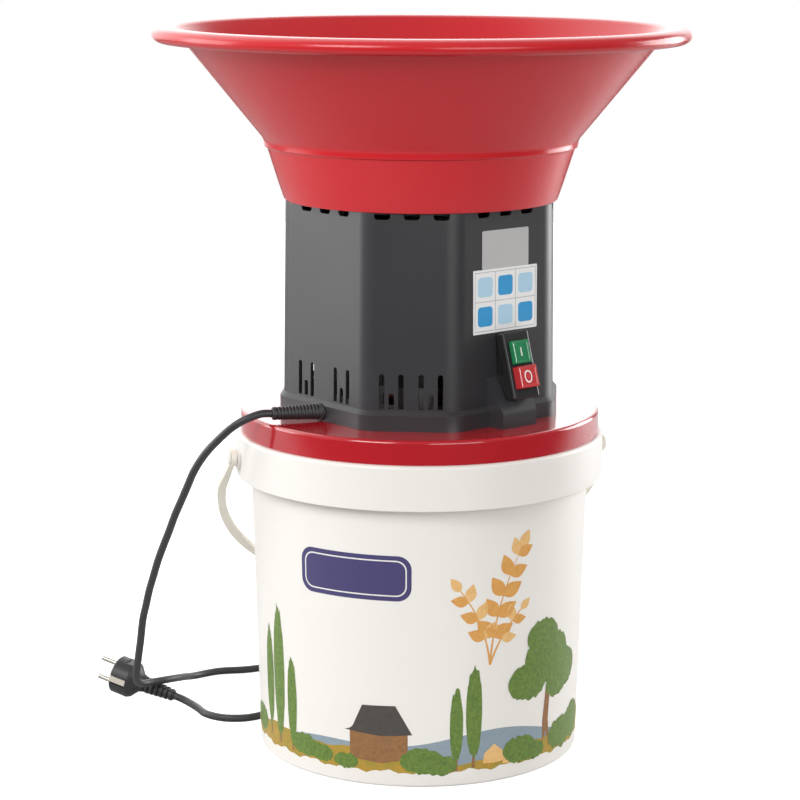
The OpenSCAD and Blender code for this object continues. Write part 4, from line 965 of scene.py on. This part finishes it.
# ---- Switch ----
# Two-button mains switch: a black box that stands proud of the console, a green button marked I and a red
# one marked O that stands higher, so that a slap stops the mill.
on_mid, off_mid = switch_mid + 11 * mm, switch_mid - 11 * mm
bezel_w, bezel_l, bezel_h = 30 * mm, 58.5 * mm, 10 * mm
bezel_wall = 1.5 * mm
on_w, on_l = 19.5 * mm, 20 * mm
off_w, off_l = 21.5 * mm, 19 * mm
button_gap = 0.3 * mm


def console_block(name, mid, w, length, low, high):
    """A box on the console, from one height to another, in the console's own directions."""
    return block(name, (high - low, w, length), ((low + high) / 2, switch_side, mid))


gloss_black = surface("gloss black plastic", (0.012, 0.012, 0.013), (0.02, 0.02, 0.021), (0.2, 0.32))
bezel = console_block("switch_bezel_moulded", switch_mid, bezel_w, bezel_l, 0, bezel_h)
soften(bezel, 2 * mm, 4)
cut(bezel,
    console_block("inside", switch_mid, bezel_w - 2 * bezel_wall, bezel_l - 2 * bezel_wall, -1 * mm,
                  bezel_h - 2 * mm),
    console_block("pocket", on_mid, on_w + 2 * button_gap, on_l + 2 * button_gap, 0, bezel_h + 1 * mm),
    console_block("pocket", off_mid, off_w + 2 * button_gap, off_l + 2 * button_gap, 0, bezel_h + 1 * mm))
soften(bezel, 0.3 * mm, 2, 50)
put(bezel, on_console)
dress(bezel, "head", "black_plastic", gloss_black, "switch_bezel")
bench_copy("switch_body_moulded", "switch_body", "head", "black_plastic", gloss_black, 0.2 * mm)

green = surface("green button plastic", (0.012, 0.20, 0.075), (0.016, 0.24, 0.09), (0.2, 0.3),
                700, cloud=60, coat=0.5)
red = surface("red button plastic", (0.50, 0.025, 0.03), (0.58, 0.045, 0.05), (0.2, 0.3),
              700, cloud=60, coat=0.5)
mark_white = surface("white mark paint", (0.85, 0.85, 0.83), (0.78, 0.78, 0.76), (0.4, 0.5))
on_front, off_front = bezel_h + 3.4 * mm, bezel_h + 6.5 * mm
dish = 0.7 * mm


def button(name, mid, w, length, front, material, node):
    """A button with a dished front and a raised border; its body and its node have one name."""
    piece = console_block(name, mid, w, length, 1 * mm, front)
    only(piece)
    bpy.ops.object.mode_set(mode="EDIT")
    bpy.ops.mesh.select_mode(type="FACE")
    mesh = bmesh.from_edit_mesh(piece.data)
    for face in mesh.faces:
        face.select = face.normal.x > 0.9
    bmesh.update_edit_mesh(piece.data)
    bpy.ops.mesh.inset(thickness=1.6 * mm, depth=0)
    bpy.ops.mesh.inset(thickness=dish, depth=-dish)
    bpy.ops.object.mode_set(mode="OBJECT")
    soften(piece, 0.45 * mm, 3, 25)
    put(piece, on_console)
    dress(piece, node, name, material, node)


button("green_button", on_mid, on_w, on_l, on_front, green, "on_button")
button("red_button", off_mid, off_w, off_l, off_front, red, "off_button")
mark_i = console_block("on_mark", on_mid, 1.2 * mm, 7.5 * mm, on_front - 0.72 * mm, on_front - 0.55 * mm)
put(mark_i, on_console)
dress(mark_i, "on_button", "green_button", mark_white)
mark_o = turned("off_mark", arc(4.2 * mm, 0, 0.6 * mm, 0, 360, 8), 48)
put(mark_o, on_console @ shift(off_front - 0.66 * mm, switch_side, off_mid)
    @ Matrix.Rotation(pi / 2, 4, "Y") @ Matrix.Diagonal((1.15, 0.9, 0.25, 1)))
dress(mark_o, "off_button", "red_button", mark_white)

# ---- Labels ----
# Two plain film labels on the face above the console: a blank silver-grey one, and a white one with
# plain blue tiles.
housing_h = 186 * mm
face_lean = atan2(diag_low - diag_high, housing_h - 1 * mm)


def on_face(z):
    """The frame of the drafted face at a height: X points out of it and Z up along it."""
    out = diag_low + (diag_high - diag_low) * (z - plate_top - 1 * mm) / (housing_h - 1 * mm)
    return spoke(console_turn, out, z, lean=-face_lean)


film_t = 0.3 * mm


def film(name, w, h, corner, place, thick=film_t):
    """A thin film with round corners, stuck on at the middle of its lower edge."""
    piece = block(name, (thick, w, h), (thick / 2, 0, h / 2))
    return put(round_corners(piece, corner, 5), place)


def label_film(name, colour, shade, rough=(0.32, 0.4), metallic=0.0):
    """A label's satin film, or the ink on it."""
    return surface(name, colour, shade, rough, 400, 0.00001, 30, metallic)


silver_film = label_film("silver-grey film", (0.56, 0.56, 0.555), (0.53, 0.53, 0.525), (0.34, 0.42), 0.25)
white_film = label_film("white film", (0.86, 0.87, 0.86), (0.83, 0.84, 0.83), (0.3, 0.38))
blue_ink = label_film("blue ink", (0.03, 0.30, 0.62), (0.035, 0.33, 0.66))
pale_ink = label_film("pale ink", (0.42, 0.64, 0.80), (0.46, 0.68, 0.83))
sticker_z, sticker_w, sticker_h = plate_top + 81 * mm, 74.5 * mm, 55 * mm
label_w, label_h = 54 * mm, 33 * mm
on_sticker = on_face(sticker_z) @ shift(film_t, 0, 0)
dress(film("rating_label_film", label_w, label_h, 1.5 * mm, on_face(sticker_z + sticker_h)), "head",
      "silver_label", silver_film, "rating_label")
dress(film("sticker_film", sticker_w, sticker_h, 0.8 * mm, on_face(sticker_z)), "head", "white_label",
      white_film, "info_sticker")
tile = 17 * mm
col_pitch, row_pitch, row_low = 23.5 * mm, 25.3 * mm, 6.2 * mm
tiles = {"blue": [], "pale": []}
for row in range(2):
    for col in range(3):
        tone = "pale" if (row + col) % 2 else "blue"
        place = on_sticker @ shift(0, (col - 1) * col_pitch, row_low + row * row_pitch)
        tiles[tone].append(film("sticker_tiles_" + tone, tile, tile, 3.2 * mm, place, 0.05 * mm))
cell_ink = label_film("grey line ink", (0.42, 0.43, 0.44), (0.38, 0.39, 0.40))
lines = []
for w, h, side, up in ((0.5, 51, -11.75, 2), (0.5, 51, 11.75, 2), (70.5, 0.5, 0, 27.25), (70.5, 0.5, 0, 2),
                       (70.5, 0.5, 0, 52.5), (0.5, 51, -35.25, 2), (0.5, 51, 35.25, 2)):
    line = block("sticker_lines", (0.04 * mm, w * mm, h * mm), (0.02 * mm, 0, h * mm / 2))
    lines.append(put(line, on_sticker @ shift(0, side * mm, up * mm)))
dress(joined(*lines), "head", "white_label", cell_ink)
dress(joined(*tiles["blue"]), "head", "white_label", blue_ink)
dress(joined(*tiles["pale"]), "head", "white_label", pale_ink)

# ---- Feed chute and gate ----
# A plastic duct leads the grain from the hopper's port to the beaters. A zinc plated gate slides over the
# port in two screwed rails.
grey_plastic = surface("plain grey plastic", (0.45, 0.45, 0.44), (0.40, 0.40, 0.39), (0.4, 0.5))
zinc = surface("zinc plated steel", (0.60, 0.60, 0.61), (0.50, 0.50, 0.52), (0.22, 0.38),
               500, cloud=40, metallic=1)
bench_copy("feed_chute_duct", "feed_chute", "head", "light_plastic", grey_plastic)
bench_copy("gate_rails_moulded", "gate_rails", "head", "light_plastic", grey_plastic)
bench_copy("gate_plate", "gate", "gate", "steel", zinc)

# ---- Screws, studs and nuts ----
# Zinc plated pan head screws, hexagon bolts and wing nuts; each kind is one group.
for kind in ("housing_screws", "hopper_screws", "gate_screws", "motor_bolts", "motor_mount_bolts",
             "chamber_studs", "wing_nuts", "stud_washers"):
    bench_copy(kind + "_plated", kind, "head", "steel", zinc, 0.2 * mm)

# ---- Motor ----
# Cast aluminium shields hold the bearings and clamp the stack of steel laminations with its copper
# winding. The capacitor and the terminal block stand on the plate beside them.
cast = surface("cast aluminium", (0.55, 0.56, 0.57), (0.45, 0.46, 0.47), (0.38, 0.55),
               600, 0.00008, 25, metallic=1)
laminated = surface("laminated steel", (0.20, 0.21, 0.22), (0.14, 0.14, 0.15), (0.35, 0.5),
                    500, 0.00004, 30, metallic=1)
copper = surface("varnished copper wire", (0.45, 0.17, 0.06), (0.33, 0.11, 0.04), (0.25, 0.4),
                 700, 0.0001, 60, metallic=0.8)
bearing_steel = surface("ground bearing steel", (0.66, 0.66, 0.67), (0.60, 0.60, 0.61), (0.12, 0.2),
                        metallic=1)
can = surface("drawn can", (0.62, 0.62, 0.62), (0.55, 0.55, 0.55), (0.25, 0.35), metallic=0.9)
white_plastic = surface("white block plastic", (0.72, 0.72, 0.70), (0.66, 0.66, 0.64), (0.35, 0.45))
for node in ("motor_lower_shield", "motor_upper_shield"):
    bench_copy(node + "_cast", node, "head", "cast_alloy", cast)
bench_copy("stator_stack", "stator_core", "head", "laminations", laminated, 0)
bench_copy("stator_coils", "stator_winding", "head", "enamelled_copper", copper, 2.5 * mm)
for node in ("lower_bearing", "upper_bearing"):
    bench_copy(node + "_ground", node, "head", "steel", bearing_steel, 0.2 * mm)
bench_copy("capacitor_can", "capacitor", "head", "cast_alloy", can, 1 * mm)
bench_copy("capacitor_holder", "capacitor_cup", "head", "black_plastic", gloss_black)
bench_copy("terminal_block_moulded", "terminal_block", "head", "white_plastic", white_plastic)
bench_copy("motor_leads_sleeved", "motor_leads", "head", "cord_rubber", vinyl, 0)
bench_copy("cord_stub_end", "cord_stub", "head", "cord_rubber", vinyl, 0)

# ---- Rotor ----
# The shaft carries the laminated core with its cast cage, the fan above and the beaters below, and turns
# in the two bearings.
bench_copy("rotor_stack", "rotor_core", "rotor", "laminations", laminated, 0)
bench_copy("rotor_rings", "rotor_cage", "rotor", "cast_alloy", cast)
bench_copy("shaft_turned", "shaft", "rotor", "steel", bearing_steel)
bench_copy("fan_moulded", "cooling_fan", "rotor", "black_plastic", gloss_black, 0.2 * mm)
hardened = surface("hardened steel bar", (0.30, 0.30, 0.31), (0.22, 0.22, 0.235), (0.28, 0.45),
                   300, 0.00003, 35, metallic=1)
for node in ("lower_beater", "upper_beater"):
    bench_copy(node + "_bar", node, "rotor", "steel", hardened)
for node in ("beater_spacer", "beater_washer", "beater_nut"):
    bench_copy(node + "_turned", node, "rotor", "steel", zinc)

# ---- Milling chamber ----
# A ring of perforated stainless sheet round the beaters, closed below by a plate that three studs and wing
# nuts hold up against the lid plate.
stainless = surface("stainless sheet", (0.60, 0.59, 0.57), (0.52, 0.51, 0.50), (0.2, 0.34),
                    300, cloud=22, metallic=1)
bench_copy("chamber_floor_sheet", "chamber_floor", "head", "steel", stainless)
bench_copy("sieve_sheet", "sieve_ring", "head", "steel", stainless, 0)

# ---- Floor and light ----
# White paper floor in a dim studio with four soft boxes round the mill and a pale tent behind it, so that
# the gloss stays deep and only the edges turn white.
floor_r = 3.2
floor_at = (0, 0.6, 0)
bpy.ops.object.select_all(action="DESELECT")
bpy.ops.mesh.primitive_circle_add(vertices=96, radius=floor_r, fill_type="NGON", location=floor_at)
floor = bpy.context.active_object
floor.name = "floor"
only(floor)
bpy.ops.object.transform_apply(location=True)


def maths(nodes, operation, a, b):
    """The output of a new math node that works on two outputs or values."""
    node = nodes.new("ShaderNodeMath")
    node.operation = operation
    return feed(node, {0: a, 1: b}).outputs["Value"]


# The paper is white near the mill and dark farther off, where its glare would fill the gloss. For the camera
# alone it also glows by what it lacks, so that it looks evenly white.
paper = bpy.data.materials.new("white paper")
paper.use_nodes = True
nodes = paper.node_tree.nodes
lit_middle, lit_r, dark_r = (-0.3, 1.0, 0), 1.7, 2.0
lit_white, dark_white = 0.58, 0.06
seen_white = 1.42
far_off = nodes.new("ShaderNodeVectorMath")
far_off.operation = "DISTANCE"
feed(far_off, {0: nodes.new("ShaderNodeTexCoord").outputs["Object"], 1: lit_middle})
lit = feed(nodes.new("ShaderNodeMapRange"), {
    "Value": far_off.outputs["Value"], "From Min": lit_r, "From Max": dark_r,
    "To Min": lit_white, "To Max": dark_white}).outputs["Result"]
seen_by_camera = nodes.new("ShaderNodeLightPath").outputs["Is Camera Ray"]
glow = maths(nodes, "MULTIPLY", maths(nodes, "SUBTRACT", seen_white, lit), seen_by_camera)
white = (1, 1, 1, 1)
feed(nodes["Principled BSDF"], {
    "Base Color": lit, "Roughness": 0.9, "Specular IOR Level": 0.1, "Emission Color": white,
    "Emission Strength": glow})
floor.data.materials.append(paper)


def softbox(name, at, aim, width, height, power):
    """A rectangular light that points from one place to another."""
    data = bpy.data.lights.new(name, "AREA")
    data.shape = "RECTANGLE"
    data.size = width
    data.size_y = height
    data.energy = power
    light = bpy.data.objects.new(name, data)
    bpy.context.scene.collection.objects.link(light)
    light.location = at
    light.rotation_euler = (Vector(aim) - Vector(at)).to_track_quat("-Z", "Y").to_euler()


softbox("front softbox", (-1.3, -2.4, 2.0), (0, 0, 0.35), 1.4, 1.4, 54)
softbox("low softbox", (1.2, -2.4, 0.9), (0, 0, 0.3), 1.6, 1.2, 26)
softbox("left softbox", (-2.2, 0.15, 0.8), (0, 0, 0.4), 1.2, 1.6, 24)
softbox("right softbox", (1.75, 1.2, 0.6), (0, 0, 0.4), 1.4, 1.6, 50)

world = bpy.data.worlds.new("tent")
bpy.context.scene.world = world
world.use_nodes = True
tent = world.node_tree.nodes
tent.clear()

# The tent has four bright patches, each with the way to its middle, the cosines of the angles where it fades
# out and where it is full, and its strength. Diffuse rays see them dimmed, and the camera sees plain white.
ray = tent.new("ShaderNodeLightPath").outputs
way = tent.new("ShaderNodeTexCoord").outputs["Generated"]
patches = []
for towards, fade, full, strength in (((-0.44, 0.74, 0.5), 0.5, 0.95, 1.5),
                                      ((0, 0.98, 0.2), 0.86, 0.98, 0.85),
                                      ((-1, 0, 0), 0.4, 0.95, 0.6), ((0, 0, 1), 0.3, 0.95, 0.4)):
    lobe = tent.new("ShaderNodeVectorMath")
    lobe.operation = "DOT_PRODUCT"
    feed(lobe, {0: way, 1: towards})
    patch = tent.new("ShaderNodeMapRange")
    patch.interpolation_type = "SMOOTHSTEP"
    feed(patch, {"Value": lobe.outputs["Value"], "From Min": fade, "From Max": full, "To Max": strength})
    patches.append(patch.outputs["Result"])
total = patches[0]
for patch in patches[1:]:
    total = maths(tent, "ADD", total, patch)
for_diffuse, wall_glow = 0.4, 0.12
dim = feed(tent.new("ShaderNodeMapRange"), {
    "Value": ray["Is Diffuse Ray"], "To Min": 1, "To Max": for_diffuse}).outputs["Result"]
base = maths(tent, "ADD", maths(tent, "MULTIPLY", total, dim), wall_glow)
inside = feed(tent.new("ShaderNodeBackground"), {"Color": white, "Strength": base})
seen = feed(tent.new("ShaderNodeBackground"), {"Color": white})
either = feed(tent.new("ShaderNodeMixShader"), {
    0: ray["Is Camera Ray"], 1: inside.outputs["Background"], 2: seen.outputs["Background"]})
feed(tent.new("ShaderNodeOutputWorld"), {"Surface": either.outputs["Shader"]})
bpy.context.scene.view_settings.view_transform = "Standard"
